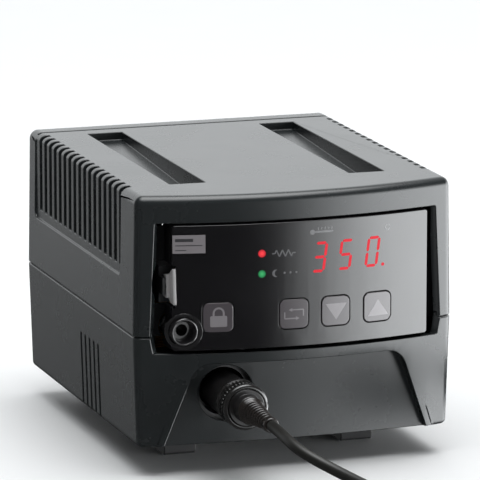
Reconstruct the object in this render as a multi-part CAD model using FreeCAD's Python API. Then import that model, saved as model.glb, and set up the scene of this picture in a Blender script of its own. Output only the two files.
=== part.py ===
import FreeCAD, Part
import math
import os

os.makedirs("parts", exist_ok=True)

# Frame: origin on the table under the middle of the case, front towards -Y,
# +X to the right as seen from the front, +Z up. All sizes are in millimetres.
V = FreeCAD.Vector
X = V(1, 0, 0)
Y = V(0, 1, 0)
Z = V(0, 0, 1)

# Driving dimensions of the case.
case_half_width = 60.0
case_rear_y = 75.0
front_bow = 10.0
front_tip_y = -75.0
corner_radius = 4.0
foot_height = 11.0
lower_height = 40.6
upper_height = 50.9
upper_draft = 0.8
lower_draft = 1.3
wall = 2.5
clearance = 0.3

case_bottom_z = foot_height
split_z = case_bottom_z + lower_height
case_top_z = split_z + upper_height
bow_radius = (case_half_width ** 2 + front_bow ** 2) / (2 * front_bow)
bow_centre_y = front_tip_y + bow_radius

# Front window and display panel.
window_bottom_z = 45.6
window_top_z = 92.8
window_half_width = 51.5
window_mouth_top = 53.4
window_mouth_split = 55.2
window_mouth_bottom = 53.9
window_inner_y = -67.0
window_facet = 6.0
panel_left_x = -47.4
panel_right_x = 48.8
panel_bottom_z = 46.9
panel_top_z = 92.2
panel_proud = 0.6
lens_thickness = 2.2
lens_radius = bow_radius + panel_proud
carrier_depth = 7.0
key_size = 10.6
key_radius = 2.2
key_z = 58.8
key_x = {"key_lock": -31.4, "mode_key": -3.9, "down_key": 11.9, "up_key": 28.3}
key_proud = 0.25
led_x = -16.2
led_z = {"heat_led": 81.4, "sleep_led": 74.2}
digit_x = (5.6, 15.6, 25.9)
digit_z = 79.3
digit_height = 11.2
digit_width = 6.2
lit_segments = [
    ("top", "middle", "bottom", "upper_right", "lower_right"),
    ("top", "middle", "bottom", "upper_left", "lower_right"),
    ("top", "bottom", "upper_left", "upper_right", "lower_left", "lower_right"),
]
label_centre = (-41.6, 85.6)
label_size = (11.4, 6.6)
jack_x = -43.6
jack_z = 54.0
jack_bore_radius = 2.05
jack_proud = 1.9
jack_cup_depth = 4.2
bezel_radius = 6.6
rocker_x = -47.65
rocker_z = 70.1
rocker_width = 2.5
rocker_height = 13.2
blade_width = 1.3
scoop_x = -43.4
scoop_radius = 10.4
blade_front_y = -71.2
rocker_tilt = 6.0

# Lower front recess and the iron connector.
recess_top_z = 41.7
recess_half_top = 38.5
recess_half_bottom = 51.0
recess_floor_tip_y = -66.6
recess_floor_radius = 445.0
connector_x = -26.2
connector_z = 29.3
connector_hole_radius = 10.2
shell_radius = 7.4
ring_radius = 8.4

# Side grilles: a shallow bay with slots that run over the top edge.
slot_count = 17
slot_pitch = 6.4
slot_width = 3.1
slot_first_y = 57.6
slot_low_z = 74.2
bay_depth = 0.8
bay_low_z = 70.6
bay_front_y = -46.4
bay_rear_y = 63.9
bay_corner = 2.6

# Stacking channels on top and the feet that fit them.
channel_x = 34.0
channel_width = 13.4
channel_front_y = -46.0
channel_rear_y = 57.0
channel_depth_front = 8.0
channel_depth_rear = 3.0
foot_width = 12.0
foot_length = 22.0
foot_y = (-25.0, 46.0)

# Inside: board, transformer and rear fittings.
board_z = 20.0
board_posts = [(-44.0, -28.0), (46.0, -28.0), (-44.0, 6.0), (46.0, 6.0)]
transformer_base_z = 17.0
transformer_posts = [(-52.0, 34.0), (14.0, 34.0)]
boss_places = [(-50.0, -42.0), (50.0, -42.0), (-50.0, 61.0), (50.0, 61.0)]
display_posts = [(-20.0, 89.0), (42.0, 89.0), (-18.0, 50.6), (42.0, 50.6)]
head_seat_z = 37.0
inlet_x = 27.0
inlet_z = 36.0
fuse_x = 34.0
fuse_z = 70.0
digit_face_y = -70.3
rocker_pin_y = -66.2

# Cord, its coil and the iron on its far end.
cord_radius = 2.0
boot_base_y = -94.1
boot_end_y = -117.5
coil_centre = V(86.0, -141.0, 0)
coil_radius = 29.6
coil_pitch = 4.1
coil_turns = 3.625
coil_low_z = 2.6
coil_high_z = coil_low_z + coil_pitch
iron_start = V(116.0, -110.0, 10.6)
iron_axis = V(0.085, 0.9964, 0)

# Route of the cord from the plug to the coil, and from the coil to the iron.
cord_route = [
    V(-26.2, boot_end_y - 0.05, 29.3),
    V(-26.4, -130.5, 28.9),
    V(-25.2, -143.0, 26.6),
    V(-17.5, -152.0, 22.2),
    V(-5.0, -157.5, 15.6),
    V(8.0, -161.5, 8.4),
    V(21.5, -164.6, 3.6),
    V(37.0, -167.8, 2.2),
    V(52.5, -170.2, 2.3),
    V(68.5, -171.2, 2.6),
    V(84.0, -170.6, 2.6),
]
iron_route = [
    V(115.6, -140.0, 6.7),
    V(116.0, -130.0, 7.1),
    V(115.1, -120.0, 9.8),
    V(116.0, -110.05, 10.6),
]


def box(x0, x1, y0, y1, z0, z1):
    return Part.makeBox(x1 - x0, y1 - y0, z1 - z0, V(x0, y0, z0))


def rod(radius, start, direction, length):
    return Part.makeCylinder(radius, length, start, direction)


def tube(outer, inner, start, direction, length):
    return rod(outer, start, direction, length).cut(rod(inner, start, direction, length))


def join(shapes):
    whole = shapes[0]
    for shape in shapes[1:]:
        whole = whole.fuse(shape)
    return whole.removeSplitter()


def remove(shape, tools):
    for tool in tools:
        shape = shape.cut(tool)
    return shape


def save(name, shapes):
    """Write one node; a list becomes a group of separate solids."""
    shape = Part.makeCompound(shapes) if isinstance(shapes, list) else shapes
    solids = shape.Solids
    bad = [s for s in solids if not s.isValid() or s.Volume <= 0]
    print(name, "solids", len(solids), "volume", round(shape.Volume, 1), "BAD" if bad else "")
    if len(solids) == 1:
        shape = solids[0]
    shape.exportStep("parts/" + name + ".step")


def outline(inset, z):
    """Plan of the case: bowed front, straight sides and back, round corners."""
    half = case_half_width - inset
    radius = bow_radius - inset
    rear = case_rear_y - inset
    r = max(corner_radius - inset, 1.0)
    cx = half - r
    cy = bow_centre_y - math.sqrt((radius - r) ** 2 - cx ** 2)
    scale = radius / (radius - r)
    px = cx * scale
    py = bow_centre_y + (cy - bow_centre_y) * scale
    turn = math.atan2(py - cy, px - cx) / 2
    mid = V(cx + r * math.cos(turn), cy + r * math.sin(turn), z)
    k = r * math.sqrt(0.5)
    edges = [
        Part.Arc(V(-px, py, z), V(0, bow_centre_y - radius, z), V(px, py, z)).toShape(),
        Part.Arc(V(px, py, z), mid, V(half, cy, z)).toShape(),
        Part.makeLine(V(half, cy, z), V(half, rear - r, z)),
        Part.Arc(V(half, rear - r, z), V(cx + k, rear - r + k, z), V(cx, rear, z)).toShape(),
        Part.makeLine(V(cx, rear, z), V(-cx, rear, z)),
        Part.Arc(V(-cx, rear, z), V(-cx - k, rear - r + k, z), V(-half, rear - r, z)).toShape(),
        Part.makeLine(V(-half, rear - r, z), V(-half, cy, z)),
        Part.Arc(V(-half, cy, z), V(-mid.x, mid.y, z), V(-px, py, z)).toShape(),
    ]
    return Part.Wire(edges)


def block(inset_low, z_low, inset_high, z_high):
    return Part.makeLoft([outline(inset_low, z_low), outline(inset_high, z_high)], True, True)


def ring_band(inset_outer, inset_inner, z_low, z_high):
    """Band that follows the case outline between two insets."""
    outer = Part.Face(outline(inset_outer, z_low)).extrude(V(0, 0, z_high - z_low))
    inner = Part.Face(outline(inset_inner, z_low)).extrude(V(0, 0, z_high - z_low))
    return outer.cut(inner)


def bow_wall(outer_radius, thickness, z_low, z_high):
    """Upright slice of the bowed front, as wide as the case."""
    centre = V(0, bow_centre_y, z_low)
    height = z_high - z_low
    full = tube(outer_radius, outer_radius - thickness, centre, Z, height)
    return full.common(box(-70, 70, front_tip_y - 15, -30, z_low, z_high))


def prism_y(points, y_low, y_high):
    """Extrude a polygon of (x, z) points along Y."""
    corners = [V(x, y_low, z) for x, z in points]
    wire = Part.makePolygon(corners + [corners[0]])
    return Part.Face(wire).extrude(V(0, y_high - y_low, 0))


def pad_y(cx, cz, width, height, radius, y_low, y_high):
    """Rounded rectangle in the XZ plane, extruded along Y."""
    body = box(cx - width / 2, cx + width / 2, y_low, y_high, cz - height / 2, cz + height / 2)
    upright = [e for e in body.Edges if abs(e.Vertexes[0].Y - e.Vertexes[-1].Y) > 1e-6]
    return body.makeFillet(radius, upright)


def turned(profile, start, axis):
    """Solid of revolution: profile is a list of (distance along axis, radius)."""
    points = [V(r, 0, d) for d, r in profile]
    points = [V(0, 0, profile[0][0])] + points + [V(0, 0, profile[-1][0])]
    face = Part.Face(Part.makePolygon(points + [points[0]]))
    solid = face.revolve(V(0, 0, 0), Z, 360)
    turn = FreeCAD.Rotation(Z, axis)
    solid.Placement = FreeCAD.Placement(start, turn)
    return solid


def window_tool():
    """Straight window through the front wall with slanted side facets."""
    tool = box(-window_half_width, window_half_width, -90, -55, window_bottom_z, window_top_z)
    near_y = window_inner_y - window_facet
    far_y = window_inner_y + window_facet
    for z_a, mouth_a, z_b, mouth_b in (
        (split_z, window_mouth_split, window_top_z, window_mouth_top),
        (window_bottom_z, window_mouth_bottom, split_z, window_mouth_split),
    ):
        wires = []
        for y, grow in ((near_y, window_facet), (far_y, -window_facet)):
            a = mouth_a + grow
            b = mouth_b + grow
            corners = [V(-a, y, z_a), V(a, y, z_a), V(b, y, z_b), V(-b, y, z_b)]
            wires.append(Part.makePolygon(corners + [corners[0]]))
        tool = tool.fuse(Part.makeLoft(wires, True, True))
    scoop = rod(scoop_radius, V(scoop_x, -80, rocker_z + 1.0), Y, 17)
    return tool.fuse(scoop)


def vent_slots(side):
    """Side grille slots that wrap over the top edge."""
    slots = []
    for i in range(slot_count):
        y = slot_first_y - i * slot_pitch
        x0, x1 = sorted((side * 55.2, side * 70))
        half = slot_width / 2
        slots.append(box(x0, x1, y - half, y + half, slot_low_z, case_top_z + 5))
    return slots


def vent_bay(side):
    """Shallow bay that the grille sits in, with round lower corners."""
    depth_x = case_half_width - upper_draft * (bay_low_z - split_z) / upper_height - bay_depth
    corners = [V(depth_x, bay_front_y, bay_low_z), V(depth_x, bay_rear_y, bay_low_z),
               V(depth_x, bay_rear_y, case_top_z + 5), V(depth_x, bay_front_y, case_top_z + 5)]
    bay = Part.Face(Part.makePolygon(corners + [corners[0]])).extrude(V(10, 0, 0))
    low = [e for e in bay.Edges
           if abs(e.Vertexes[0].X - e.Vertexes[-1].X) > 1 and e.Vertexes[0].Z < bay_low_z + 1]
    bay = bay.makeFillet(bay_corner, low)
    if side < 0:
        bay = bay.mirror(V(0, 0, 0), X)
    return bay


def vent_backing(side):
    """Inner skin behind the grille, so that the slots end in a dark floor."""
    x0, x1 = sorted((side * 53.2, side * 57.0))
    return box(x0, x1, -50, 64, 72, case_top_z - wall)


def upper_cover():
    """Upper half of the case with window, grilles and stacking channels."""
    shell = block(0, split_z, upper_draft, case_top_z)
    top_edges = [e for e in shell.Edges if min(v.Z for v in e.Vertexes) > case_top_z - 0.01]
    shell = shell.makeFillet(3.2, top_edges)
    shell = shell.cut(block(wall, split_z - 1, wall + upper_draft, case_top_z - wall))
    trays = []
    for side in (-1, 1):
        cx = side * channel_x
        half = channel_width / 2 + 1.6
        low = case_top_z - channel_depth_front - 1.8
        trays.append(box(cx - half, cx + half, channel_front_y - 1.8, channel_rear_y + 1.8, low,
                         case_top_z - 1))
        trays.append(vent_backing(side))
    for x, y in boss_places:
        trays.append(rod(4.0, V(x, y, split_z + 0.2), Z, upper_height - 1.5))
    shell = join([shell] + trays)
    cuts = [window_tool()]
    for side in (-1, 1):
        cuts += vent_slots(side)
        cuts.append(vent_bay(side))
        cuts.append(channel_tool(side))
    cuts.append(ring_band(-2, 0.7, split_z - 0.3, split_z + 0.3))
    cuts.append(ring_band(wall / 2 - 0.1, wall + 1, split_z - 1, split_z + 1.7))
    cuts.append(rear_opening())
    cuts.append(box(-58, 58, 63.8, 65.3, case_top_z - 1.2, case_top_z + 1))
    for x, y in boss_places:
        cuts.append(rod(1.6, V(x, y, split_z - 1), Z, 16))
    shell = remove(shell, cuts)
    return shell


def channel_tool(side):
    """Stacking channel whose floor falls towards the front."""
    cx = side * channel_x
    half = channel_width / 2
    points = [
        V(cx - half, channel_rear_y, case_top_z + 5),
        V(cx - half, channel_rear_y, case_top_z - channel_depth_rear),
        V(cx - half, channel_front_y, case_top_z - channel_depth_front),
        V(cx - half, channel_front_y, case_top_z + 5),
    ]
    face = Part.Face(Part.makePolygon(points + [points[0]]))
    return face.extrude(V(channel_width, 0, 0))


def rear_opening():
    return box(-54, 54, 66, 80, case_bottom_z + 5, case_top_z - 5)


def recess_profile(grow):
    t = recess_half_top + grow
    b = recess_half_bottom + grow
    z_top = recess_top_z + grow
    return prism_y([(-b, case_bottom_z - 3), (b, case_bottom_z - 3), (t, z_top), (-t, z_top)],
                   -90, -50)


def recess_tool(grow, floor_shift):
    """Trapezoid pocket under the window with a nearly flat floor."""
    shape = recess_profile(grow)
    slanted = [e for e in shape.Edges
               if abs(e.Vertexes[0].Y - e.Vertexes[-1].Y) > 1
               and e.Vertexes[0].Z > recess_top_z - 1]
    shape = shape.makeFillet(8.0, slanted)
    centre = V(0, recess_floor_tip_y + recess_floor_radius + floor_shift, -10)
    return shape.cut(rod(recess_floor_radius, centre, Z, 80))


def foot_socket(x, y):
    return rod(3.2, V(x, y, case_bottom_z - 1), Z, 3.0)


def lower_case():
    """Lower half of the case: floor, recess, bosses, board posts."""
    shell = block(lower_draft, case_bottom_z, 0, split_z)
    bottom_edges = [e for e in shell.Edges if max(v.Z for v in e.Vertexes) < case_bottom_z + 0.01]
    shell = shell.makeFillet(2.0, bottom_edges)
    inner = block(wall + lower_draft, case_bottom_z + wall, wall, split_z + 1)
    backing = recess_tool(wall, wall).common(block(1.0, case_bottom_z + 0.5, 1.0, split_z - 2))
    shell = shell.cut(inner)
    extras = [backing]
    tongue = ring_band(wall / 2 + 0.1, wall, split_z - 2, split_z + 1.5)
    extras.append(tongue)
    floor_z = case_bottom_z + wall - 0.5
    for x, y in boss_places:
        extras.append(rod(4.6, V(x, y, floor_z), Z, split_z - floor_z))
    for x, y in board_posts:
        extras.append(rod(3.0, V(x, y, floor_z), Z, board_z - floor_z))
    for x, y in transformer_posts:
        extras.append(rod(3.6, V(x, y, floor_z), Z, transformer_base_z - floor_z))
    for x in (-34.0, 34.0):
        for y in foot_y:
            extras.append(rod(5.0, V(x, y, floor_z), Z, 2.5))
    shell = join([shell] + extras)
    cuts = [recess_tool(0, 0), window_tool(), rear_opening()]
    cuts.append(rod(connector_hole_radius, V(connector_x, -80, connector_z), Y, 25))
    cuts.append(ring_band(-2, 0.7, split_z - 0.3, split_z + 0.3))
    for x, y in boss_places:
        cuts.append(rod(3.3, V(x, y, case_bottom_z - 1), Z, head_seat_z - case_bottom_z + 1))
        cuts.append(rod(1.8, V(x, y, case_bottom_z), Z, lower_height + 5))
    for x, y in board_posts:
        cuts.append(rod(1.3, V(x, y, board_z - 6), Z, 10))
    for x, y in transformer_posts:
        cuts.append(rod(1.6, V(x, y, transformer_base_z - 6), Z, 10))
    for x in (-34.0, 34.0):
        for y in foot_y:
            cuts.append(foot_socket(x, y))
    for side in (-1, 1):
        for i in range(5):
            y = 3.6 - i * 5.4
            x0, x1 = sorted((side * (case_half_width - 4.5), side * 70))
            cuts.append(box(x0, x1, y - 0.8, y + 0.8, case_bottom_z - 2, 39.0))
    return remove(shell, cuts)


def rear_panel():
    """Flat rear plate held between the two halves."""
    plate = box(-55.5, 55.5, 68.9, 70.9, case_bottom_z + 4, case_top_z - 4)
    frame = box(-53.7, 53.7, 70.9, 72.5, case_bottom_z + 5.3, case_top_z - 5.3)
    plate = plate.fuse(frame)
    cuts = [box(inlet_x - 14.2, inlet_x + 14.2, 60, 80, inlet_z - 10.2, inlet_z + 10.2)]
    for side in (-1, 1):
        cuts.append(rod(1.7, V(inlet_x + side * 20, 60, inlet_z), Y, 20))
    cuts.append(rod(6.4, V(fuse_x, 60, fuse_z), Y, 20))
    for i in range(9):
        x = -45 + i * 5.5
        cuts.append(pad_y(x, 74, 2.4, 26, 1.1, 60, 80))
    return remove(plate, cuts).removeSplitter()


def mains_inlet():
    """Three-pin appliance inlet with its flange outside the rear plate."""
    flange = pad_y(inlet_x, inlet_z, 48, 22, 4, 72.8, 75.0)
    body = box(inlet_x - 13.6, inlet_x + 13.6, 46, 73.5, inlet_z - 9.8, inlet_z + 9.8)
    shape = flange.fuse(body)
    mouth = prism_y([(inlet_x - 11.8, inlet_z - 7.8), (inlet_x + 11.8, inlet_z - 7.8),
                     (inlet_x + 11.8, inlet_z + 4.0), (inlet_x + 8.2, inlet_z + 7.8),
                     (inlet_x - 8.2, inlet_z + 7.8), (inlet_x - 11.8, inlet_z + 4.0)], 57, 80)
    shape = shape.cut(mouth)
    for side in (-1, 1):
        shape = shape.cut(rod(1.8, V(inlet_x + side * 20, 60, inlet_z), Y, 20))
    return shape.removeSplitter()


def inlet_pins():
    pins = []
    for dx, dz in ((-7.0, -2.0), (0.0, 2.0), (7.0, -2.0)):
        x = inlet_x + dx
        z = inlet_z + dz
        pins.append(box(x - 1, x + 1, 40, 70, z - 2, z + 2))
    return pins


def screw_y(x, y_head, z, sign, shank, length, head):
    """Pan-head screw along Y; sign is the direction that the shank points."""
    direction = V(0, sign, 0)
    profile = [(-1.8, head * 0.6), (-1.2, head * 0.92), (-0.6, head), (0, head), (0, shank),
               (length - 1, shank), (length, shank * 0.5)]
    body = turned(profile, V(x, y_head, z), direction)
    slot = box(x - head, x + head, y_head - sign * 1.9 - 0.55, y_head - sign * 1.9 + 0.55,
               z - 0.35, z + 0.35)
    slot2 = box(x - 0.35, x + 0.35, y_head - sign * 1.9 - 0.55, y_head - sign * 1.9 + 0.55,
                z - head, z + head)
    return body.cut(slot).cut(slot2)


def screw_z(x, y, z_head, up, shank, length, head):
    """Pan-head screw along Z; up is +1 when the shank points up."""
    direction = V(0, 0, up)
    profile = [(-2.0, head * 0.6), (-1.4, head * 0.92), (-0.6, head), (0, head), (0, shank),
               (length - 1, shank), (length, shank * 0.5)]
    body = turned(profile, V(x, y, z_head), direction)
    for w, d in ((head, 0.35), (0.35, head)):
        body = body.cut(box(x - w, x + w, y - d, y + d, z_head - up * 2.1 - 0.6,
                            z_head - up * 2.1 + 0.6))
    return body


def case_screws():
    return [screw_z(x, y, head_seat_z, 1, 1.5, 24, 2.9) for x, y in boss_places]


def feet():
    """Rubber feet: blocks with a sloped heel and a peg in the case floor."""
    solids = []
    for x in (-34.0, 34.0):
        for y in foot_y:
            h = foot_height - 0.1
            y0 = y - foot_length / 2
            y1 = y + foot_length / 2
            side = [(y0, h), (y0, 1.0), (y0 + 1.0, 0), (y1 - 6, 0), (y1, 4.0), (y1, h)]
            points = [V(x - foot_width / 2, sy, sz) for sy, sz in side]
            foot = Part.Face(Part.makePolygon(points + [points[0]])).extrude(V(foot_width, 0, 0))
            solids.append(foot.fuse(rod(3.0, V(x, y, h - 1), Z, 2.8)).removeSplitter())
    return solids


def panel_block(outer_radius, thickness, inset, z_low, z_high):
    slab = bow_wall(outer_radius, thickness, z_low, z_high)
    return slab.common(box(panel_left_x + inset, panel_right_x - inset, -95, -40, z_low, z_high))


def panel_holes(grow):
    """Key, jack and switch openings through the panel, as cutting tools."""
    tools = []
    for x in key_x.values():
        size = key_size + 2 * grow
        tools.append(pad_y(x, key_z, size, size, key_radius + grow, -95, -50))
    tools.append(rod(5.4 + grow, V(jack_x, -95, jack_z), Y, 45))
    reach = rocker_height / 2 + grow + 0.7
    tools.append(box(-60, rocker_x + rocker_width / 2 + grow + 0.1, -95, -50, rocker_z - reach,
                     rocker_z + reach))
    return tools


def display_lens():
    """Smoked front lens that covers the whole control panel."""
    lens = panel_block(lens_radius, lens_thickness, 0, panel_bottom_z, panel_top_z)
    upright = [e for e in lens.Edges
               if abs(e.Vertexes[0].X - e.Vertexes[-1].X) < 1e-6
               and abs(e.Vertexes[0].Z - e.Vertexes[-1].Z) < 1e-6
               and e.Length < lens_thickness * 2]
    lens = lens.makeFillet(1.0, upright)
    return remove(lens, panel_holes(clearance))


def panel_carrier():
    """Black tray behind the lens: guides the keys and holds the display board."""
    outer = lens_radius - lens_thickness - 0.05
    tray = panel_block(outer, carrier_depth, 0.2, panel_bottom_z + 0.2, panel_top_z - 0.2)
    hollow = panel_block(outer - 1.6, carrier_depth, 2.0, panel_bottom_z + 1.8, panel_top_z - 1.8)
    tray = tray.cut(hollow)
    flange = box(-56, 56, -59.5, -58.0, 50.5, 90.5)
    flange = flange.cut(box(-45.2, 46.4, -62, -50, 52.5, 88.5))
    left = panel_left_x + 0.2
    right = panel_right_x - 0.2
    skirt = box(left, right, -66, -58, panel_bottom_z + 0.2, panel_top_z - 0.2)
    skirt = skirt.cut(box(left + 1.8, right - 1.8, -68, -50, panel_bottom_z + 1.8,
                          panel_top_z - 1.8))
    posts = []
    for x, z in display_posts:
        posts.append(rod(2.6, V(x, -72.5, z), Y, 14.5))
    tray = join([tray, skirt, flange] + posts)
    cuts = panel_holes(clearance + 0.2)
    cuts.append(box(1.0, 31.6, -90, -66, digit_z - 7.6, digit_z + 7.6))
    for z in led_z.values():
        cuts.append(rod(1.8, V(led_x, -90, z), Y, 30))
    for x, z in display_posts:
        cuts.append(rod(1.1, V(x, -66, z), Y, 10))
    cuts.append(bow_wall(outer + 6, 6, 40, 100))
    cuts.append(box(-60, rocker_x + 3.7, -90, -50, rocker_z - 7.6, rocker_z + 7.6))
    web = box(left, -38.2, -64.8, -61.2, panel_bottom_z + 0.2, 61.0)
    web = web.cut(rod(4.05, V(jack_x, -70, jack_z), Y, 20))
    return join([remove(tray, cuts), web])


def key(x):
    """Push key with a curved face and a stepped back flange."""
    body = pad_y(x, key_z, key_size, key_size, key_radius, -90, -67.0)
    body = body.common(rod(lens_radius + key_proud, V(0, bow_centre_y, 40), Z, 60))
    edges = [e for e in body.Edges if max(v.Y for v in e.Vertexes) < -70 and e.Length > 0.5]
    body = body.makeFillet(0.2, edges)
    flange = pad_y(x, key_z, key_size + 2.0, key_size + 2.0, key_radius + 0.6, -67.4, -66.2)
    stem = rod(1.5, V(x, -67.0, key_z), Y, 4.2)
    return join([body, flange, stem])


def tact_switches():
    """Four small switches on the display board, one behind each key."""
    solids = []
    for x in key_x.values():
        base = box(x - 3, x + 3, -61.2, -57.9, key_z - 3, key_z + 3)
        plunger = rod(1.6, V(x, -61.9, key_z), Y, 1.2)
        solids.append(base.fuse(plunger).removeSplitter())
    return solids


def display_board():
    board = box(-46.0, 46.0, -57.8, -56.2, 53.0, 88.0)
    ears = []
    for x, z in display_posts:
        low = min(z - 3.2, 60) if z < 60 else 84
        high = max(z + 3.2, 84) if z > 60 else 60
        ears.append(box(x - 3.2, x + 3.2, -57.8, -56.2, low, high))
    board = join([board] + ears)
    cuts = [rod(1.3, V(x, -60, z), Y, 8) for x, z in display_posts]
    cuts.append(rod(6.2, V(jack_x, -60, jack_z), Y, 8))
    cuts.append(box(-60, -40.5, -60, -50, rocker_z - 9, rocker_z + 9))
    return remove(board, cuts)


def display_board_screws():
    return [screw_y(x, -56.2, z, -1, 1.0, 6.0, 2.0) for x, z in display_posts]


def digit_segments(x, lit):
    """Lit bars of one seven-segment digit, slanted like the real ones."""
    bars = []
    w = digit_width / 2
    h = digit_height / 2
    t = 0.62
    across = {"top": h - t, "middle": 0, "bottom": -h + t}
    upright = {"upper_left": (-w + t, h / 2), "upper_right": (w - t, h / 2),
               "lower_left": (-w + t, -h / 2), "lower_right": (w - t, -h / 2)}
    lean = math.tan(math.radians(8))
    for name in lit:
        if name in across:
            dz = across[name]
            a = [(-w + 1.3, dz - t), (w - 1.3, dz - t), (w - 0.9, dz), (w - 1.3, dz + t),
                 (-w + 1.3, dz + t), (-w + 0.9, dz)]
        else:
            dx, dz = upright[name]
            k = h / 2 - 0.95
            a = [(dx - t, dz - k), (dx, dz - k - 0.5), (dx + t, dz - k), (dx + t, dz + k),
                 (dx, dz + k + 0.5), (dx - t, dz + k)]
        points = [(x + px + pz * lean, digit_z + pz) for px, pz in a]
        bars.append(prism_y(points, digit_face_y - 0.25, digit_face_y))
    return bars


def display_module():
    """Three-digit display body standing on the display board."""
    return box(1.4, 31.2, digit_face_y + 0.05, -57.9, digit_z - 7.2, digit_z + 7.2)


def display_digits():
    bars = []
    for x, lit in zip(digit_x, lit_segments):
        bars += digit_segments(x, lit)
    bars.append(rod(0.65, V(30.0, digit_face_y - 0.25, digit_z - digit_height / 2 + 0.7), Y, 0.25))
    return bars


def led(z):
    lamp = rod(1.5, V(led_x, -71.0, z), Y, 9.0)
    dome = Part.makeSphere(1.5, V(led_x, -71.0, z))
    foot = rod(1.9, V(led_x, -62.6, z), Y, 1.0)
    legs = [rod(0.3, V(led_x + dx, -62.0, z), Y, 4.0) for dx in (-0.8, 0.8)]
    return join([lamp, dome, foot] + legs)


def rating_label():
    """Plain label on the lens face, following its curve."""
    cx, cz = label_centre
    sheet = bow_wall(lens_radius + 0.2, 0.15, cz - label_size[1] / 2, cz + label_size[1] / 2)
    return sheet.common(box(cx - label_size[0] / 2, cx + label_size[0] / 2, -90, -50, 60, 100))


def jack_face_y():
    """Where the lens face stands at the earth socket."""
    return bow_centre_y - math.sqrt(lens_radius ** 2 - jack_x ** 2)


def earth_jack():
    """Insulated socket for the earth lead, with a deep cup round its bore."""
    front = jack_face_y() - jack_proud
    seat = -64.95 - front
    rear = -54.8 - front
    profile = [(0, 4.7), (0.4, 5.1), (seat, 5.1), (seat, 3.9), (rear, 3.9), (rear, 1.6),
               (rear + 4.0, 1.6)]
    body = turned(profile, V(jack_x, front, jack_z), Y)
    cup = turned([(-1.0, 4.3), (0.0, 4.3), (1.6, 3.6), (jack_cup_depth, 3.4)],
                 V(jack_x, front, jack_z), Y)
    bore = rod(jack_bore_radius, V(jack_x, front - 1, jack_z), Y, 17.0)
    return body.cut(cup).cut(bore)


def jack_nut():
    """Hexagon nut behind the carrier."""
    points = []
    for i in range(6):
        angle = math.radians(60 * i)
        points.append((jack_x + 5.4 * math.cos(angle), jack_z + 5.4 * math.sin(angle)))
    nut = prism_y(points, -60.9, -58.2)
    return nut.cut(rod(4.0, V(jack_x, -65, jack_z), Y, 10))


def power_rocker():
    """Slim rocker at the left end of the panel: a tall blade with a low step beside it."""
    low_x = rocker_x - rocker_width / 2
    high_x = rocker_x + rocker_width / 2
    h = rocker_height / 2
    side = [(blade_front_y, -h), (blade_front_y, h), (-67.6, h - 2.0), (-66.0, h - 2.2),
            (-64.2, 2.4), (-64.2, -2.4), (-66.0, -h + 1.4), (-67.6, -h + 0.6)]
    points = [V(high_x - blade_width, y, rocker_z + z) for y, z in side]
    blade = Part.Face(Part.makePolygon(points + [points[0]])).extrude(V(blade_width, 0, 0))
    front = [e for e in blade.Edges if max(v.Y for v in e.Vertexes) < blade_front_y + 0.01]
    blade = blade.makeFillet(0.35, front)
    step = box(low_x, high_x - blade_width, -67.4, -64.4, rocker_z - 4.2, rocker_z + 4.2)
    body = blade.fuse(step).removeSplitter()
    body = body.cut(rod(0.85, V(rocker_x - 5, rocker_pin_y, rocker_z), X, 10))
    body.rotate(V(rocker_x, rocker_pin_y, rocker_z), X, -rocker_tilt)
    return body


def switch_body():
    """Fixed body of the power switch with the rocker's pivot pin."""
    w = rocker_width / 2
    body = box(rocker_x - w - 1.3, rocker_x + w + 1.4, -62.6, -50.0, rocker_z - 6.6,
               rocker_z + 6.6)
    cheek_out = box(rocker_x - w - 1.3, rocker_x - w - 0.35, -67.2, -62.0, rocker_z - 3,
                    rocker_z + 3)
    cheek_in = box(rocker_x + w + 0.35, rocker_x + w + 1.35, -67.2, -62.0, rocker_z - 3,
                   rocker_z + 3)
    pin = rod(0.8, V(rocker_x - w - 1.0, rocker_pin_y, rocker_z), X, rocker_width + 2.0)
    tags = [box(rocker_x - 1, rocker_x + 1, -50.5, -47.2, rocker_z + dz - 0.4, rocker_z + dz + 0.4)
            for dz in (-4.5, 0, 4.5)]
    return join([body, cheek_out, cheek_in, pin] + tags)


def iron_receptacle():
    """Round socket behind the recess floor that takes the iron's plug."""
    flange = rod(12.4, V(connector_x, -62.2, connector_z), Y, 2.0)
    barrel = rod(9.9, V(connector_x, -61.0, connector_z), Y, 22.0)
    body = flange.fuse(barrel)
    body = body.cut(rod(8.8, V(connector_x, -63, connector_z), Y, 14.0))
    pins = []
    for i in range(6):
        angle = math.radians(60 * i)
        p = V(connector_x + 4.2 * math.cos(angle), -51.0, connector_z + 4.2 * math.sin(angle))
        pins.append(rod(0.6, p, Y, 16))
    return join([body] + pins)


def receptacle_nut():
    return tube(12.6, 10.0, V(connector_x, -58.6, connector_z), Y, 3.4)


def plug_shell():
    """Moulded plug body between the socket and the coupling ring."""
    profile = [(0, shell_radius - 0.6), (0.6, shell_radius), (24.2, shell_radius),
               (24.2, 6.6), (35.2, 6.6), (35.2, 5.0), (38.8, 5.0), (39.3, 4.5)]
    return turned(profile, V(connector_x, -54.8, connector_z), V(0, -1, 0))


def coupling_ring():
    """Ribbed ring that turns on the plug to lock it."""
    length = 10.4
    profile = [(0, ring_radius - 0.5), (0.5, ring_radius), (2.2, ring_radius), (2.6, 8.0),
               (8.0, 8.0), (8.4, ring_radius), (length - 0.8, ring_radius),
               (length, ring_radius - 1.0)]
    ring = turned(profile, V(connector_x, -79.2, connector_z), V(0, -1, 0))
    ring = ring.cut(rod(6.65, V(connector_x, -78, connector_z), V(0, -1, 0), length + 3))
    for i in range(18):
        angle = math.radians(20 * i)
        p = V(connector_x + 8.2 * math.cos(angle), -81.8, connector_z + 8.2 * math.sin(angle))
        ring = ring.cut(rod(0.55, p, V(0, -1, 0), 5.4))
    return ring


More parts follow.
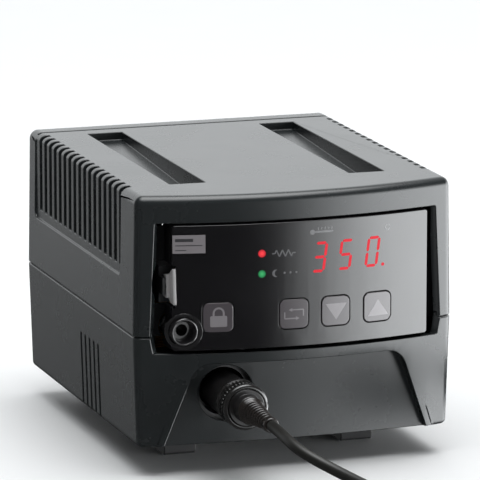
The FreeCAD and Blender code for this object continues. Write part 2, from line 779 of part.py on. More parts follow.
def cord_boot():
    """Ribbed strain relief between the plug and the cord."""
    steps = 8
    length = boot_base_y - boot_end_y
    profile = [(0, 4.9), (1.2, 4.9), (1.4, 3.6)]
    for i in range(steps):
        d = 1.8 + i * (length - 5.0) / steps
        r = 3.75 - i * 0.12
        profile += [(d, r), (d + 1.3, r), (d + 1.5, r - 0.75), (d + 2.1, r - 0.75)]
    profile += [(length - 2.4, 2.75), (length, 2.75)]
    boot = turned(profile, V(connector_x, boot_base_y - 0.05, connector_z), V(0, -1, 0))
    return boot


def arc_path(points):
    """Straight runs joined by tangent arcs; prints each arc's radius."""
    edges = []
    radii = []
    start = points[0]
    for before, corner, after in zip(points, points[1:], points[2:]):
        a = before - corner
        b = after - corner
        run = min(a.Length, b.Length)
        turn = math.pi - a.getAngle(b)
        reach = 0.45 * run
        radii.append(round(reach / math.tan(turn / 2), 1))
        a.normalize()
        b.normalize()
        p = corner + a * reach
        q = corner + b * reach
        bisector = a + b
        bisector.normalize()
        radius = reach / math.tan(turn / 2)
        middle = corner + bisector * (radius / math.cos(turn / 2) - radius)
        edges.append(Part.LineSegment(start, p).toShape())
        edges.append(Part.Arc(p, middle, q).toShape())
        start = q
    edges.append(Part.LineSegment(start, points[-1]).toShape())
    print("cord radii", radii)
    return Part.Wire(edges)


def cord_tube(points):
    path = arc_path(points)
    direction = points[1] - points[0]
    section = Part.Wire([Part.Circle(points[0], direction, cord_radius).toShape()])
    solid = path.makePipeShell([section], True, True)
    want = math.pi * cord_radius ** 2 * path.Length
    print("cord length", round(path.Length, 1), "volume ratio", round(solid.Volume / want, 4))
    return solid


def cord_coil():
    """Outer shape of the wound-up length of cord."""
    inner = coil_radius - coil_turns * coil_pitch - cord_radius
    outer = coil_radius + cord_radius + 0.1
    base = coil_centre + V(0, 0, coil_low_z - cord_radius)
    return tube(outer, inner, base, Z, coil_high_z - coil_low_z + 2 * cord_radius)


def coil_tie():
    """Flat strap closed round the bundle of turns."""
    x_out = coil_centre.x - coil_radius - cord_radius - 0.3
    x_in = coil_centre.x - coil_radius + coil_turns * coil_pitch + cord_radius + 0.6
    y0 = coil_centre.y - 3
    y1 = coil_centre.y + 3
    low = coil_low_z - cord_radius - 0.05
    high = coil_high_z + cord_radius + 0.1
    strap = box(x_out - 0.5, x_in + 0.5, y0, y1, low - 0.5, high + 0.5)
    return strap.cut(box(x_out, x_in, y0 - 1, y1 + 1, low, high))


def iron_piece(profile):
    return turned(profile, iron_start, iron_axis)


def iron_boot():
    profile = [(0, 2.9), (2.0, 2.9)]
    for i in range(6):
        d = 3.0 + i * 3.0
        r = 3.2 + i * 0.22
        profile += [(d, r - 0.5), (d + 0.3, r), (d + 1.9, r + 0.1), (d + 2.2, r - 0.4)]
    profile += [(21.5, 4.9), (24.0, 5.2)]
    return iron_piece(profile)


def iron_handle():
    return iron_piece([(24.05, 6.5), (25.0, 7.6), (28.0, 9.4), (32.0, 10.2), (38.0, 10.2),
                       (46.0, 9.0), (58.0, 8.2), (70.0, 8.3), (80.0, 9.0), (88.0, 9.6)])


def iron_grip():
    profile = [(88.05, 9.6), (88.6, 10.2)]
    for i in range(6):
        d = 91.0 + i * 6.2
        profile += [(d, 10.4), (d + 0.3, 9.9), (d + 1.3, 9.9), (d + 1.6, 10.4)]
    profile += [(129.0, 10.4), (130.0, 9.8)]
    return iron_piece(profile)


def iron_collar():
    return iron_piece([(130.05, 9.4), (131.0, 10.6), (133.6, 10.6), (136.0, 7.4)])


def on_iron(tool, angle):
    """Turn a tool about Z and carry it to the iron's line."""
    tool.rotate(V(0, 0, 0), Z, angle)
    place = FreeCAD.Placement(iron_start, FreeCAD.Rotation(Z, iron_axis))
    tool.Placement = place.multiply(tool.Placement)
    return tool


def iron_nut():
    nut = iron_piece([(136.05, 5.6), (136.8, 6.2), (144.2, 6.2), (145.0, 5.6)])
    return remove(nut, [on_iron(rod(0.45, V(6.25, 0, 137.2), Z, 6.6), 22.5 * i)
                        for i in range(16)])


def iron_barrel():
    barrel = iron_piece([(145.05, 3.9), (165.0, 3.9)])
    return remove(barrel, [on_iron(rod(0.9, V(0, 0, 158), X, 6), 90 * i + 45) for i in range(4)])


def iron_tip():
    return iron_piece([(165.05, 3.3), (168.0, 3.3), (169.5, 2.4), (173.5, 2.3), (181.4, 0.5),
                       (182.0, 0.2)])


def transformer_core():
    core = box(-47, 9, 20, 48, 19.5, 66.5)
    return core.cut(box(-38, -28, 10, 60, 28.5, 57.5)).cut(box(-10, 0, 10, 60, 28.5, 57.5))


def transformer_winding():
    winding = box(-37.7, -0.3, 12.5, 55.5, 28.8, 57.2)
    return winding.cut(box(-28.3, -9.7, 19.7, 48.3, 20, 70))


def transformer_bracket():
    parts = [
        box(-48.4, -47.2, 26, 42, 17.1, 67.9),
        box(9.2, 10.4, 26, 42, 17.1, 67.9),
        box(-48.4, 10.4, 26, 42, 66.7, 67.9),
        box(-55.4, -47.2, 26, 42, 17.1, 18.3),
        box(9.2, 17.4, 26, 42, 17.1, 18.3),
    ]
    bracket = join(parts)
    return remove(bracket, [rod(1.8, V(x, y, 10), Z, 12) for x, y in transformer_posts])


def transformer_screws():
    return [screw_z(x, y, 18.35, -1, 1.5, 6.0, 2.8) for x, y in transformer_posts]


def main_board():
    board = box(-50, 52, -34, 10.5, board_z, board_z + 1.6)
    return remove(board, [rod(1.6, V(x, y, 10), Z, 20) for x, y in board_posts])


def board_screws():
    return [screw_z(x, y, board_z + 1.65, -1, 1.2, 6.0, 2.4) for x, y in board_posts]


def heat_sink():
    sink = box(10, 40, -21, -7, board_z + 1.7, 52)
    for i in range(6):
        x = 12.2 + i * 4.8
        sink = sink.cut(box(x, x + 2.6, -17.5, 0, 20, 60))
    return sink


def triac():
    body = box(20, 30, -25.6, -21.1, 30, 46)
    legs = [box(x - 0.5, x + 0.5, -23.8, -23.2, board_z + 1.65, 30.5) for x in (22.4, 25, 27.6)]
    return join([body] + legs)


def board_components():
    """Capacitors, controller chip and headers on the main board."""
    top = board_z + 1.65
    solids = [rod(6.0, V(-12, -22, top), Z, 22), rod(4.0, V(2, -24, top), Z, 12),
              box(-30, -18, -8, 0, top, top + 3.0), box(-46, -36, -20, -8, top, top + 9.0),
              box(8, 34, -31.5, -27.5, top, top + 6.0)]
    return solids


def display_ribbon():
    """Flat ribbon from the display board down to the header on the main board."""
    path = [(-56.1, 62.0), (-50.0, 52.0), (-42.0, 40.0), (-35.0, 33.0), (-30.6, 28.0)]
    thick = 0.8
    front = [V(10, y, z) for y, z in path]
    back = [V(10, y + thick, z) for y, z in reversed(path)]
    corners = front + back
    return Part.Face(Part.makePolygon(corners + [corners[0]])).extrude(V(20, 0, 0))


def fuse_holder():
    """Panel fuse holder with a slotted bayonet cap."""
    flange = rod(8.4, V(fuse_x, 72.6, fuse_z), Y, 1.6)
    barrel = rod(6.2, V(fuse_x, 40, fuse_z), Y, 33)
    cap = rod(5.6, V(fuse_x, 74, fuse_z), Y, 1.6)
    holder = join([flange, barrel, cap])
    return holder.cut(box(fuse_x - 4.5, fuse_x + 4.5, 74.8, 77, fuse_z - 0.6, fuse_z + 0.6))


def fuse_nut():
    return tube(8.0, 6.3, V(fuse_x, 65.6, fuse_z), Y, 3.0)


def inlet_screws():
    return [screw_y(inlet_x + side * 20, 75.05, inlet_z, -1, 1.4, 9.0, 2.6) for side in (-1, 1)]


def jack_bezel():
    """Thin ring round the earth socket, following the lens face."""
    band = bow_wall(lens_radius + 0.55, 0.5, jack_z - 10, jack_z + 10)
    return band.common(tube(bezel_radius, 5.25, V(jack_x, -80, jack_z), Y, 20))


def nodes():
    save("upper_cover", upper_cover())
    save("lower_case", lower_case())
    save("rear_panel", rear_panel())
    save("rubber_feet", feet())
    save("case_screws", case_screws())
    save("mains_inlet", mains_inlet())
    save("inlet_pins", inlet_pins())
    save("display_lens", display_lens())
    save("panel_carrier", panel_carrier())
    for name, x in key_x.items():
        save(name, key(x))
    save("tact_switches", tact_switches())
    save("display_board", display_board())
    save("display_board_screws", display_board_screws())
    save("display_module", display_module())
    save("display_digits", display_digits())
    for name, z in led_z.items():
        save(name, led(z))
    save("rating_label", rating_label())
    save("earth_jack", earth_jack())
    save("jack_nut", jack_nut())
    save("power_rocker", power_rocker())
    save("switch_body", switch_body())
    save("iron_receptacle", iron_receptacle())
    save("receptacle_nut", receptacle_nut())
    save("plug_shell", plug_shell())
    save("coupling_ring", coupling_ring())
    save("cord_boot", cord_boot())
    coil = cord_coil()
    save("iron_cord", cord_tube(cord_route).cut(coil))
    save("cord_coil", coil)
    save("iron_cord_end", cord_tube(iron_route).cut(coil))
    save("coil_tie", coil_tie())
    save("iron_boot", iron_boot())
    save("iron_handle", iron_handle())
    save("iron_grip", iron_grip())
    save("iron_collar", iron_collar())
    save("iron_nut", iron_nut())
    save("iron_barrel", iron_barrel())
    save("iron_tip", iron_tip())
    save("transformer_core", transformer_core())
    save("transformer_winding", transformer_winding())
    save("transformer_bracket", transformer_bracket())
    save("transformer_screws", transformer_screws())
    save("main_board", main_board())
    save("board_screws", board_screws())
    save("board_components", board_components())
    save("heat_sink", heat_sink())
    save("triac", triac())
    save("display_ribbon", display_ribbon())
    save("fuse_holder", fuse_holder())
    save("fuse_nut", fuse_nut())
    save("inlet_screws", inlet_screws())
    save("jack_bezel", jack_bezel())


nodes()
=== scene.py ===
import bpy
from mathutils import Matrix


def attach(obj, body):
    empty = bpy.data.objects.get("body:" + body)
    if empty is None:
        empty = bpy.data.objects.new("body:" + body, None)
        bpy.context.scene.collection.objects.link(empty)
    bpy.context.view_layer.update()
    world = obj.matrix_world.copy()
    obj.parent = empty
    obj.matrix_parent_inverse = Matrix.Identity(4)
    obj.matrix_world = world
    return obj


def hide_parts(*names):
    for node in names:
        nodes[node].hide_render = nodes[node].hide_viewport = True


bl_info = {
    "name": "Soldering Iron Station",
    "version": (1, 0, 0),
    "blender": (4, 5, 0),
    "location": "3D View > Sidebar > Station",
    "description": "Looks of a bench soldering iron station, built around its packed frame",
    "category": "Add Mesh",
}

import math

import bmesh
import bpy
from mathutils import Matrix, Vector

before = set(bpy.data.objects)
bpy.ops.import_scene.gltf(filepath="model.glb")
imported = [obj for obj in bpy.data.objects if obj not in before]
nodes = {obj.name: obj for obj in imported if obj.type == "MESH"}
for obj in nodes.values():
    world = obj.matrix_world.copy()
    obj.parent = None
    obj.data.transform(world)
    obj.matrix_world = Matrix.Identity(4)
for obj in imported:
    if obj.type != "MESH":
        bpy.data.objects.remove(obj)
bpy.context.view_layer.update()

MM = 0.001

# The bowed front: upright cylinders on one axis give the case, the lens and the keys their curve.
bow_centre_y = 110.0 * MM
lens_radius = 185.6 * MM
key_radius = lens_radius + 0.25 * MM

# The two round lamps on the lens, one above the other.
lamp_x = -15.7 * MM
lamp_z = {"heat": 81.36 * MM, "sleep": 73.95 * MM}
lamp_radius = 1.4 * MM

# The lit digits: size, place of each one's middle on the lens, and its lit bars.
digit_width = 5.1 * MM
digit_height = 11.1 * MM
digit_lean = 8.0
point_place = (30.5 * MM, 74.1 * MM)
point_radius = 0.6 * MM
digit_places = (
    (5.8, 78.8, ("top", "middle", "bottom", "upper_right", "lower_right")),
    (15.8, 79.0, ("top", "middle", "bottom", "upper_left", "lower_right")),
    (26.4, 79.1, ("top", "bottom", "upper_left", "upper_right", "lower_left", "lower_right")),
)

# The iron's line, from its boot to its tip.
iron_start = Vector((116.0, -110.0, 10.6)) * MM
iron_axis = Vector((0.085, 0.9964, 0.0)).normalized()

# The cord: route from the plug to the coil, the coil, and the last stretch to the iron.
cord_route = [
    (-26.2, -117.55, 29.3),
    (-26.4, -130.5, 28.9),
    (-25.2, -143.0, 26.6),
    (-17.5, -152.0, 22.2),
    (-5.0, -157.5, 15.6),
    (8.0, -161.5, 8.4),
    (21.5, -164.6, 3.6),
    (37.0, -167.8, 2.2),
    (52.5, -170.2, 2.3),
    (68.5, -171.2, 2.6),
]
iron_route = [
    (115.6, -140.0, 6.7),
    (116.0, -130.0, 7.1),
    (115.1, -120.0, 9.8),
    (116.0, -110.05, 10.6),
]
coil_centre = (86.0, -141.0)
coil_radius = 29.6
coil_pitch = 4.1
coil_turns = 7.25
coil_low_z = 2.6
coil_high_z = 6.7
points_per_turn = 16

# The plug's line runs along -Y at this place.
plug_x = -26.2
plug_z = 29.3

# Soft panels of the studio, as seen from the station: one at the right, one overhead and a wall
# behind. Each holds the direction of its middle, where it starts and is full across (as a cosine),
# its brightness, and where it starts and is full in height.
studio_panels = (
    ((0.94, -0.34, 0.0), 0.48, 0.97, 7.0, 0.40, 0.0),
    ((0.0, -0.1, 0.995), 0.78, 0.97, 3.2, 0.0, 0.1),
    ((0.31, 0.95, 0.0), 0.30, 0.90, 1.3, -0.34, 0.06),
)
fill_level = 0.05
studio_tint = (0.96, 0.985, 1.0, 1.0)
lamp_place = Vector((0.15, -0.1, 1.25))
lamp_target = Vector((0.0, 0.0, 0.05))
lamp_sides = (0.9, 0.7)
lamp_power = 5.0

camera_place = Vector((-580.2, -1761.1, 458.3)) * MM
camera_target = Vector((2.47, 5.0, 69.2)) * MM
camera_focal = 384.5


# ---------------------------------------------------------------- settings


class StationSizes(bpy.types.PropertyGroup):
    edge_round: bpy.props.FloatProperty(
        name="Edge rounding", description="Radius of the moulded edges of the case",
        default=0.35 * MM, min=0.0, unit="LENGTH")
    cord_diameter: bpy.props.FloatProperty(
        name="Cord diameter", description="Outer diameter of the iron's cord",
        default=4.0 * MM, min=0.001, unit="LENGTH")
    cord_length: bpy.props.FloatProperty(
        name="Cord length", description="Length of the cord from the plug to the iron",
        default=1.17, min=0.1, unit="LENGTH")
    boot_ribs: bpy.props.IntProperty(
        name="Boot ribs", description="Number of ribs on the cord's strain relief",
        default=9, min=2)
    ring_ribs: bpy.props.IntProperty(
        name="Ring ribs", description="Number of grip ribs round the coupling ring",
        default=36, min=6)
    stroke_width: bpy.props.FloatProperty(
        name="Symbol line", description="Width of the printed lines on the lens and the keys",
        default=0.46 * MM, min=0.0001, unit="LENGTH")
    segment_width: bpy.props.FloatProperty(
        name="Segment width", description="Width of the display's lit bars",
        default=1.0 * MM, min=0.0001, unit="LENGTH")
    floor_size: bpy.props.FloatProperty(
        name="Floor size", description="Side of the floor under the station",
        default=9.0, min=1.0, unit="LENGTH")


class StationColours(bpy.types.PropertyGroup):
    case: bpy.props.FloatVectorProperty(
        name="Case", description="Charcoal plastic of both halves of the case",
        default=(0.0155, 0.0185, 0.0195), subtype="COLOR", min=0, max=1)
    lens: bpy.props.FloatVectorProperty(
        name="Lens", description="Smoked plastic of the display lens",
        default=(0.0045, 0.0040, 0.0050), subtype="COLOR", min=0, max=1)
    key: bpy.props.FloatVectorProperty(
        name="Keys", description="Grey face of the push keys",
        default=(0.066, 0.057, 0.063), subtype="COLOR", min=0, max=1)
    digits: bpy.props.FloatVectorProperty(
        name="Digits", description="Light of the lit display segments",
        default=(1.0, 0.028, 0.055), subtype="COLOR", min=0, max=1)
    cord: bpy.props.FloatVectorProperty(
        name="Cord", description="Silicone jacket of the iron's cord",
        default=(0.012, 0.0118, 0.0095), subtype="COLOR", min=0, max=1)
    handle: bpy.props.FloatVectorProperty(
        name="Handle", description="Plastic of the iron's handle",
        default=(0.035, 0.036, 0.040), subtype="COLOR", min=0, max=1)

# ---------------------------------------------------------------- nodes and shader groups


# The kind of socket that each label stands for; any other label is a float.
socket_kinds = {"Vector": "NodeSocketVector", "Normal": "NodeSocketVector",
                "Stretch": "NodeSocketVector", "Colour": "NodeSocketColor",
                "Count": "NodeSocketInt", "Material": "NodeSocketMaterial",
                "Geometry": "NodeSocketGeometry"}


def add_sockets(tree, side, labels):
    """Give a tree its INPUT or OUTPUT sockets."""
    return [tree.interface.new_socket(label, in_out=side,
                                      socket_type=socket_kinds.get(label, "NodeSocketFloat"))
            for label in labels]


def fill(tree, node, inputs):
    """Set a node's inputs; each is a value, or a socket to link from."""
    for label, value in inputs.items():
        if isinstance(value, bpy.types.NodeSocket):
            tree.links.new(value, node.inputs[label])
        else:
            node.inputs[label].default_value = value


def put_node(tree, kind, inputs, **options):
    """New node with its options set and its inputs filled."""
    node = tree.nodes.new(kind)
    for label, value in options.items():
        setattr(node, label, value)
    fill(tree, node, inputs)
    return node


def opaque(colour, share=1.0):
    """Colour times share, with full alpha."""
    return (*[c * share for c in tuple(colour)[:3]], 1.0)


def noise(tree, vector, scale, detail=4.0, rough=0.5):
    node = put_node(tree, "ShaderNodeTexNoise",
                    {"Vector": vector, "Scale": scale, "Detail": detail, "Roughness": rough})
    return node.outputs["Fac"]


def map_range(tree, value, low, high, to_low, to_high, kind="LINEAR"):
    node = put_node(tree, "ShaderNodeMapRange",
                    {"Value": value, "From Min": low, "From Max": high, "To Min": to_low,
                     "To Max": to_high}, interpolation_type=kind)
    return node.outputs["Result"]


def maths(tree, operation, *values):
    return put_node(tree, "ShaderNodeMath", dict(enumerate(values)), operation=operation).outputs[0]


def blend_colour(tree, factor, colour_a, colour_b):
    """Mix of two colours; a Mix node's colour sockets are found by number."""
    node = put_node(tree, "ShaderNodeMix", {0: factor, 6: colour_a, 7: colour_b}, data_type="RGBA")
    return node.outputs[2]


def bump(tree, height, distance, strength=1.0):
    node = put_node(tree, "ShaderNodeBump",
                    {"Height": height, "Distance": distance, "Strength": strength})
    return node.outputs["Normal"]


def new_group(name, inputs, outputs):
    """Empty shader group; inputs holds each input's default, or None."""
    group = bpy.data.node_groups.new(name, "ShaderNodeTree")
    for socket, default in zip(add_sockets(group, "INPUT", inputs), inputs.values()):
        if default is not None:
            socket.default_value = default
    add_sockets(group, "OUTPUT", outputs)
    start = group.nodes.new("NodeGroupInput")
    return group, start.outputs, group.nodes.new("NodeGroupOutput")


def moulded_grain():
    """Fine spark-eroded grain of a moulded face."""
    group, given, end = new_group(
        "moulded_grain", {"Vector": None, "Scale": 2500.0, "Depth": 0.1}, ("Normal",))
    fine = noise(group, given["Vector"], given["Scale"], 3.0, 0.6)
    wide = noise(group, given["Vector"], maths(group, "MULTIPLY", given["Scale"], 0.22))
    height = maths(group, "ADD", fine, maths(group, "MULTIPLY", wide, 0.35))
    fill(group, end, {"Normal": bump(group, height, 0.05 * MM, given["Depth"])})
    return group


def handled_surface():
    """Slow change of colour and gloss where a surface was handled and wiped."""
    group, given, end = new_group(
        "handled_surface",
        {"Vector": None, "Colour": None, "Roughness": 0.4, "Variation": 0.1, "Scale": 30.0},
        ("Colour", "Roughness"))
    cloud = noise(group, given["Vector"], given["Scale"], 5.0, 0.6)
    swing = maths(group, "MULTIPLY", maths(group, "SUBTRACT", cloud, 0.5), given["Variation"])
    rough = maths(group, "ADD", given["Roughness"], swing)
    worn = maths(group, "MULTIPLY", cloud, given["Variation"])
    fill(group, end, {
        "Colour": blend_colour(group, worn, given["Colour"], (0.06, 0.06, 0.062, 1.0)),
        "Roughness": maths(group, "MAXIMUM", rough, 0.03)})
    return group


def settled_dust():
    """Thin dust on faces that point up."""
    group, given, end = new_group(
        "settled_dust", {"Vector": None, "Colour": None, "Amount": 0.1}, ("Colour",))
    facing = group.nodes.new("ShaderNodeNewGeometry").outputs["Normal"]
    height = put_node(group, "ShaderNodeSeparateXYZ", {0: facing}).outputs["Z"]
    up = map_range(group, height, 0.55, 1.0, 0.0, 1.0)
    speck = map_range(group, noise(group, given["Vector"], 900.0, 6.0, 0.7), 0.45, 0.75, 0.0, 1.0)
    mask = maths(group, "MULTIPLY", maths(group, "MULTIPLY", up, speck), given["Amount"])
    fill(group, end, {"Colour": blend_colour(group, mask, given["Colour"], (0.35, 0.345, 0.33, 1.0))})
    return group


def brushed_lines():
    """Fine parallel marks of brushing or turning, along a chosen direction."""
    group, given, end = new_group(
        "brushed_lines",
        {"Vector": None, "Stretch": (1.0, 1.0, 1.0), "Roughness": 0.3, "Depth": 0.1},
        ("Normal", "Roughness"))
    scaled = put_node(group, "ShaderNodeVectorMath", {0: given["Vector"], 1: given["Stretch"]},
                      operation="MULTIPLY")
    lines = noise(group, scaled.outputs[0], 1500.0, 4.0, 0.6)
    swing = maths(group, "MULTIPLY", maths(group, "SUBTRACT", lines, 0.5), 0.25)
    rough = maths(group, "ADD", given["Roughness"], swing)
    fill(group, end, {"Normal": bump(group, lines, 0.04 * MM, given["Depth"]),
                      "Roughness": maths(group, "MAXIMUM", rough, 0.03)})
    return group


groups = {}


def put_group(tree, maker, inputs):
    """Place the shader group that maker builds, made once and then shared."""
    if maker not in groups:
        groups[maker] = maker()
    return put_node(tree, "ShaderNodeGroup", inputs, node_tree=groups[maker]).outputs


# ---------------------------------------------------------------- materials


made = {}


def start_material(name):
    """New material of that name, or the one made before with no tree to fill."""
    if name in made:
        return made[name], None, None, None
    material = bpy.data.materials.new(name + "_finish")
    made[name] = material
    material.use_nodes = True
    tree = material.node_tree
    place = tree.nodes.new("ShaderNodeTexCoord").outputs["Object"]
    return material, tree, tree.nodes["Principled BSDF"], place


def plastic(name, colour, roughness, grain=0.12, scale=2600.0, variation=0.10, dust=0.0,
            coat=0.0, specular=0.5):
    """Moulded plastic or rubber with grain, handling marks and a little dust."""
    material, tree, shader, place = start_material(name)
    if tree is None:
        return material
    surface = put_group(tree, handled_surface, {
        "Vector": place, "Colour": opaque(colour), "Roughness": roughness, "Variation": variation})
    tone = surface["Colour"]
    if dust:
        tone = put_group(tree, settled_dust, {
            "Vector": place, "Colour": tone, "Amount": dust})["Colour"]
    relief = put_group(tree, moulded_grain, {"Vector": place, "Scale": scale, "Depth": grain})
    fill(tree, shader, {
        "Base Color": tone, "Roughness": surface["Roughness"], "Normal": relief["Normal"],
        "Coat Weight": coat, "Coat Roughness": 0.08, "Specular IOR Level": specular})
    return material


def metal(name, colour, roughness, stretch=(1.0, 1.0, 1.0), depth=0.15):
    """Bare or plated metal with fine working marks."""
    material, tree, shader, place = start_material(name)
    if tree is None:
        return material
    marks = put_group(tree, brushed_lines, {
        "Vector": place, "Stretch": stretch, "Roughness": roughness, "Depth": depth})
    tint = blend_colour(tree, noise(tree, place, 180.0), opaque(colour), opaque(colour, 0.72))
    fill(tree, shader, {"Metallic": 1.0, "Base Color": tint, "Roughness": marks["Roughness"],
                        "Normal": marks["Normal"]})
    return material


def glowing(name, colour, strength, core=(0.1, 0.01, 0.01)):
    """Lit segment or lamp, a little uneven."""
    material, tree, shader, place = start_material(name)
    if tree is None:
        return material
    uneven = blend_colour(tree, noise(tree, place, 700.0), opaque(colour), opaque(colour, 0.75))
    fill(tree, shader, {"Emission Color": uneven, "Emission Strength": strength,
                        "Base Color": opaque(core), "Roughness": 0.5, "Specular IOR Level": 0.15})
    return material


def glossy_panel(name, colour, spread=0.3):
    """Polished smoked plastic with faint wiping marks in its gloss."""
    material, tree, shader, place = start_material(name)
    if tree is None:
        return material
    smear = noise(tree, place, 45.0, 5.0, 0.65)
    fill(tree, shader, {
        "Roughness": map_range(tree, smear, 0.3, 0.7, 0.16, 0.24),
        "Base Color": blend_colour(tree, smear, opaque(colour), opaque(colour, 1 + spread)),
        "Specular IOR Level": 0.62, "Coat Weight": 0.5, "Coat Roughness": 0.12})
    return material


def lamp_window(name, colour, dim, centre):
    """Lit lamp: hot in the middle, deeper towards its rim."""
    material, tree, shader, place = start_material(name)
    if tree is None:
        return material
    away = put_node(tree, "ShaderNodeVectorMath", {0: place, 1: centre}, operation="DISTANCE")
    share = map_range(tree, away.outputs["Value"], 0.2 * lamp_radius, lamp_radius, 0.0, 1.0)
    fill(tree, shader, {
        "Emission Color": blend_colour(tree, share, opaque(colour), opaque(dim)),
        "Emission Strength": 1.0, "Base Color": opaque(dim, 0.3), "Roughness": 0.25})
    return material


def winding_tape():
    """Yellow tape over copper turns, with the turns' ridges showing."""
    material, tree, shader, place = start_material("winding_tape")
    if tree is None:
        return material
    turns = put_node(tree, "ShaderNodeTexWave", {"Vector": place, "Scale": 320.0, "Distortion": 0.6},
                     bands_direction="Z").outputs["Fac"]
    tone = blend_colour(tree, turns, (0.42, 0.16, 0.05, 1.0), (0.62, 0.34, 0.07, 1.0))
    fill(tree, shader, {"Base Color": tone, "Normal": bump(tree, turns, 0.2 * MM),
                        "Roughness": 0.42})
    return material


def circuit_board():
    """Green solder mask with lighter tracks under it."""
    material, tree, shader, place = start_material("circuit_board")
    if tree is None:
        return material
    tracks = put_node(tree, "ShaderNodeTexBrick", {
        "Vector": place, "Scale": 260.0, "Mortar Size": 0.035, "Color1": (0.012, 0.10, 0.035, 1.0),
        "Color2": (0.016, 0.12, 0.045, 1.0), "Mortar": (0.05, 0.24, 0.08, 1.0)})
    fill(tree, shader, {
        "Base Color": tracks.outputs["Color"],
        "Roughness": map_range(tree, noise(tree, place, 120.0), 0.3, 0.7, 0.25, 0.42)})
    return material


def finishes():
    """Every finish of the station, by the name that the pieces use."""
    colours = bpy.context.scene.station_colours
    return {
        "case": plastic("charcoal_case", colours.case, 0.27, grain=0.06, variation=0.06, dust=0.008,
                        specular=0.65),
        "feet": plastic("foot_rubber", (0.020, 0.020, 0.021), 0.62, grain=0.35, scale=1700.0),
        "lens": glossy_panel("smoked_lens", colours.lens),
        "carrier": plastic("carrier_black", (0.006, 0.006, 0.007), 0.55),
        "key": glossy_panel("key_grey", colours.key, 0.15),
        "legend": glossy_panel("legend_ink", (0.13, 0.13, 0.135), 0.1),
        "key_mark": glossy_panel("key_mark_ink", (0.21, 0.195, 0.205), 0.1),
        "digits": glowing("lit_segments", colours.digits, 0.84),
        "lamp_red": glowing("lamp_red", (1.0, 0.05, 0.06), 1.2),
        "lamp_green": glowing("lamp_green", (0.05, 0.85, 0.18), 1.0, core=(0.01, 0.10, 0.02)),
        "heat_window": lamp_window("heat_window", (0.90, 0.06, 0.07), (0.42, 0.006, 0.015),
                                   (lamp_x, bow_y(lamp_x, lens_radius), lamp_z["heat"])),
        "sleep_window": lamp_window("sleep_window", (0.05, 0.42, 0.14), (0.005, 0.11, 0.035),
                                    (lamp_x, bow_y(lamp_x, lens_radius), lamp_z["sleep"])),
        "label": plastic("plain_label", (0.22, 0.20, 0.21), 0.42, grain=0.10, variation=0.25),
        "label_line": plastic("label_line", (0.035, 0.034, 0.038), 0.40),
        "jack": plastic("jack_shell", (0.012, 0.011, 0.012), 0.20, grain=0.04, coat=0.8),
        # The rocker is light grey all over: a painted highlight that stands for the lit side of a glossy
        # black rocker.
        "rocker": plastic("rocker_grey", (0.30, 0.29, 0.29), 0.26, grain=0.05, coat=0.5),
        "black": plastic("black_moulding", (0.012, 0.012, 0.013), 0.42, grain=0.10),
        "plug": plastic("plug_moulding", (0.011, 0.010, 0.010), 0.30, grain=0.06, coat=0.3),
        "ring": plastic("ring_moulding", (0.014, 0.013, 0.0125), 0.20, grain=0.04, coat=0.7),
        "boot": plastic("boot_rubber", (0.016, 0.0125, 0.0105), 0.26, grain=0.06, coat=0.5),
        "cord": plastic("cord_jacket", colours.cord, 0.40, grain=0.12, scale=1900.0),
        "handle": plastic("handle_plastic", colours.handle, 0.38, grain=0.14, dust=0.03),
        "grip": plastic("grip_rubber", (0.018, 0.019, 0.022), 0.55, grain=0.30, scale=1500.0),
        "ribbon": plastic("ribbon_grey", (0.30, 0.30, 0.31), 0.50),
        "bright": metal("bright_steel", (0.62, 0.62, 0.63), 0.24),
        "core": metal("core_steel", (0.22, 0.22, 0.23), 0.42, stretch=(0.15, 1.0, 0.15), depth=0.5),
        "sink": metal("sink_aluminium", (0.60, 0.61, 0.63), 0.34, stretch=(1.0, 1.0, 0.1)),
        "tip": metal("tip_plating", (0.42, 0.40, 0.38), 0.30),
        "tape": winding_tape(),
        "board": circuit_board(),
    }


node_finish = {
    "upper_cover": "case", "lower_case": "case", "rear_panel": "case", "rubber_feet": "feet",
    "case_screws": "bright", "mains_inlet": "black", "inlet_pins": "bright", "display_lens": "lens",
    "panel_carrier": "carrier", "key_lock": "key", "mode_key": "key", "down_key": "key",
    "up_key": "key", "tact_switches": "black", "display_board": "board",
    "display_board_screws": "bright", "display_module": "carrier", "display_digits": "digits",
    "heat_led": "lamp_red", "sleep_led": "lamp_green", "rating_label": "label",
    "earth_jack": "jack", "jack_nut": "bright", "jack_bezel": "jack", "power_rocker": "rocker",
    "switch_body": "black", "iron_receptacle": "black", "receptacle_nut": "bright",
    "plug_shell": "plug", "coupling_ring": "ring", "cord_boot": "boot", "iron_cord": "cord",
    "cord_coil": "cord", "iron_cord_end": "cord", "coil_tie": "black", "iron_boot": "boot",
    "iron_handle": "handle", "iron_grip": "grip", "iron_collar": "handle", "iron_nut": "bright",
    "iron_barrel": "bright", "iron_tip": "tip", "transformer_core": "core",
    "transformer_winding": "tape", "transformer_bracket": "bright", "transformer_screws": "bright",
    "main_board": "board", "board_screws": "bright", "board_components": "black",
    "heat_sink": "sink", "triac": "black", "display_ribbon": "ribbon", "fuse_holder": "black",
    "fuse_nut": "black", "inlet_screws": "bright",
}


# ---------------------------------------------------------------- mesh helpers


# Points of a frame mesh this close are one. Faces within flat_angle degrees are one face, and an
# edge is rounded where its faces meet at more than bevel_angle degrees.
weld_distance = 0.002 * MM
flat_angle = 0.4
bevel_angle = 28.0


def add_piece(name, mesh, material, body, replaced):
    """Link a finished mesh as a piece that rides on a body."""
    piece = bpy.data.objects.new(name, mesh)
    bpy.context.scene.collection.objects.link(piece)
    mesh.materials.clear()
    mesh.materials.append(material)
    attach(piece, body)
    if replaced:
        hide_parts(*replaced)
    return piece


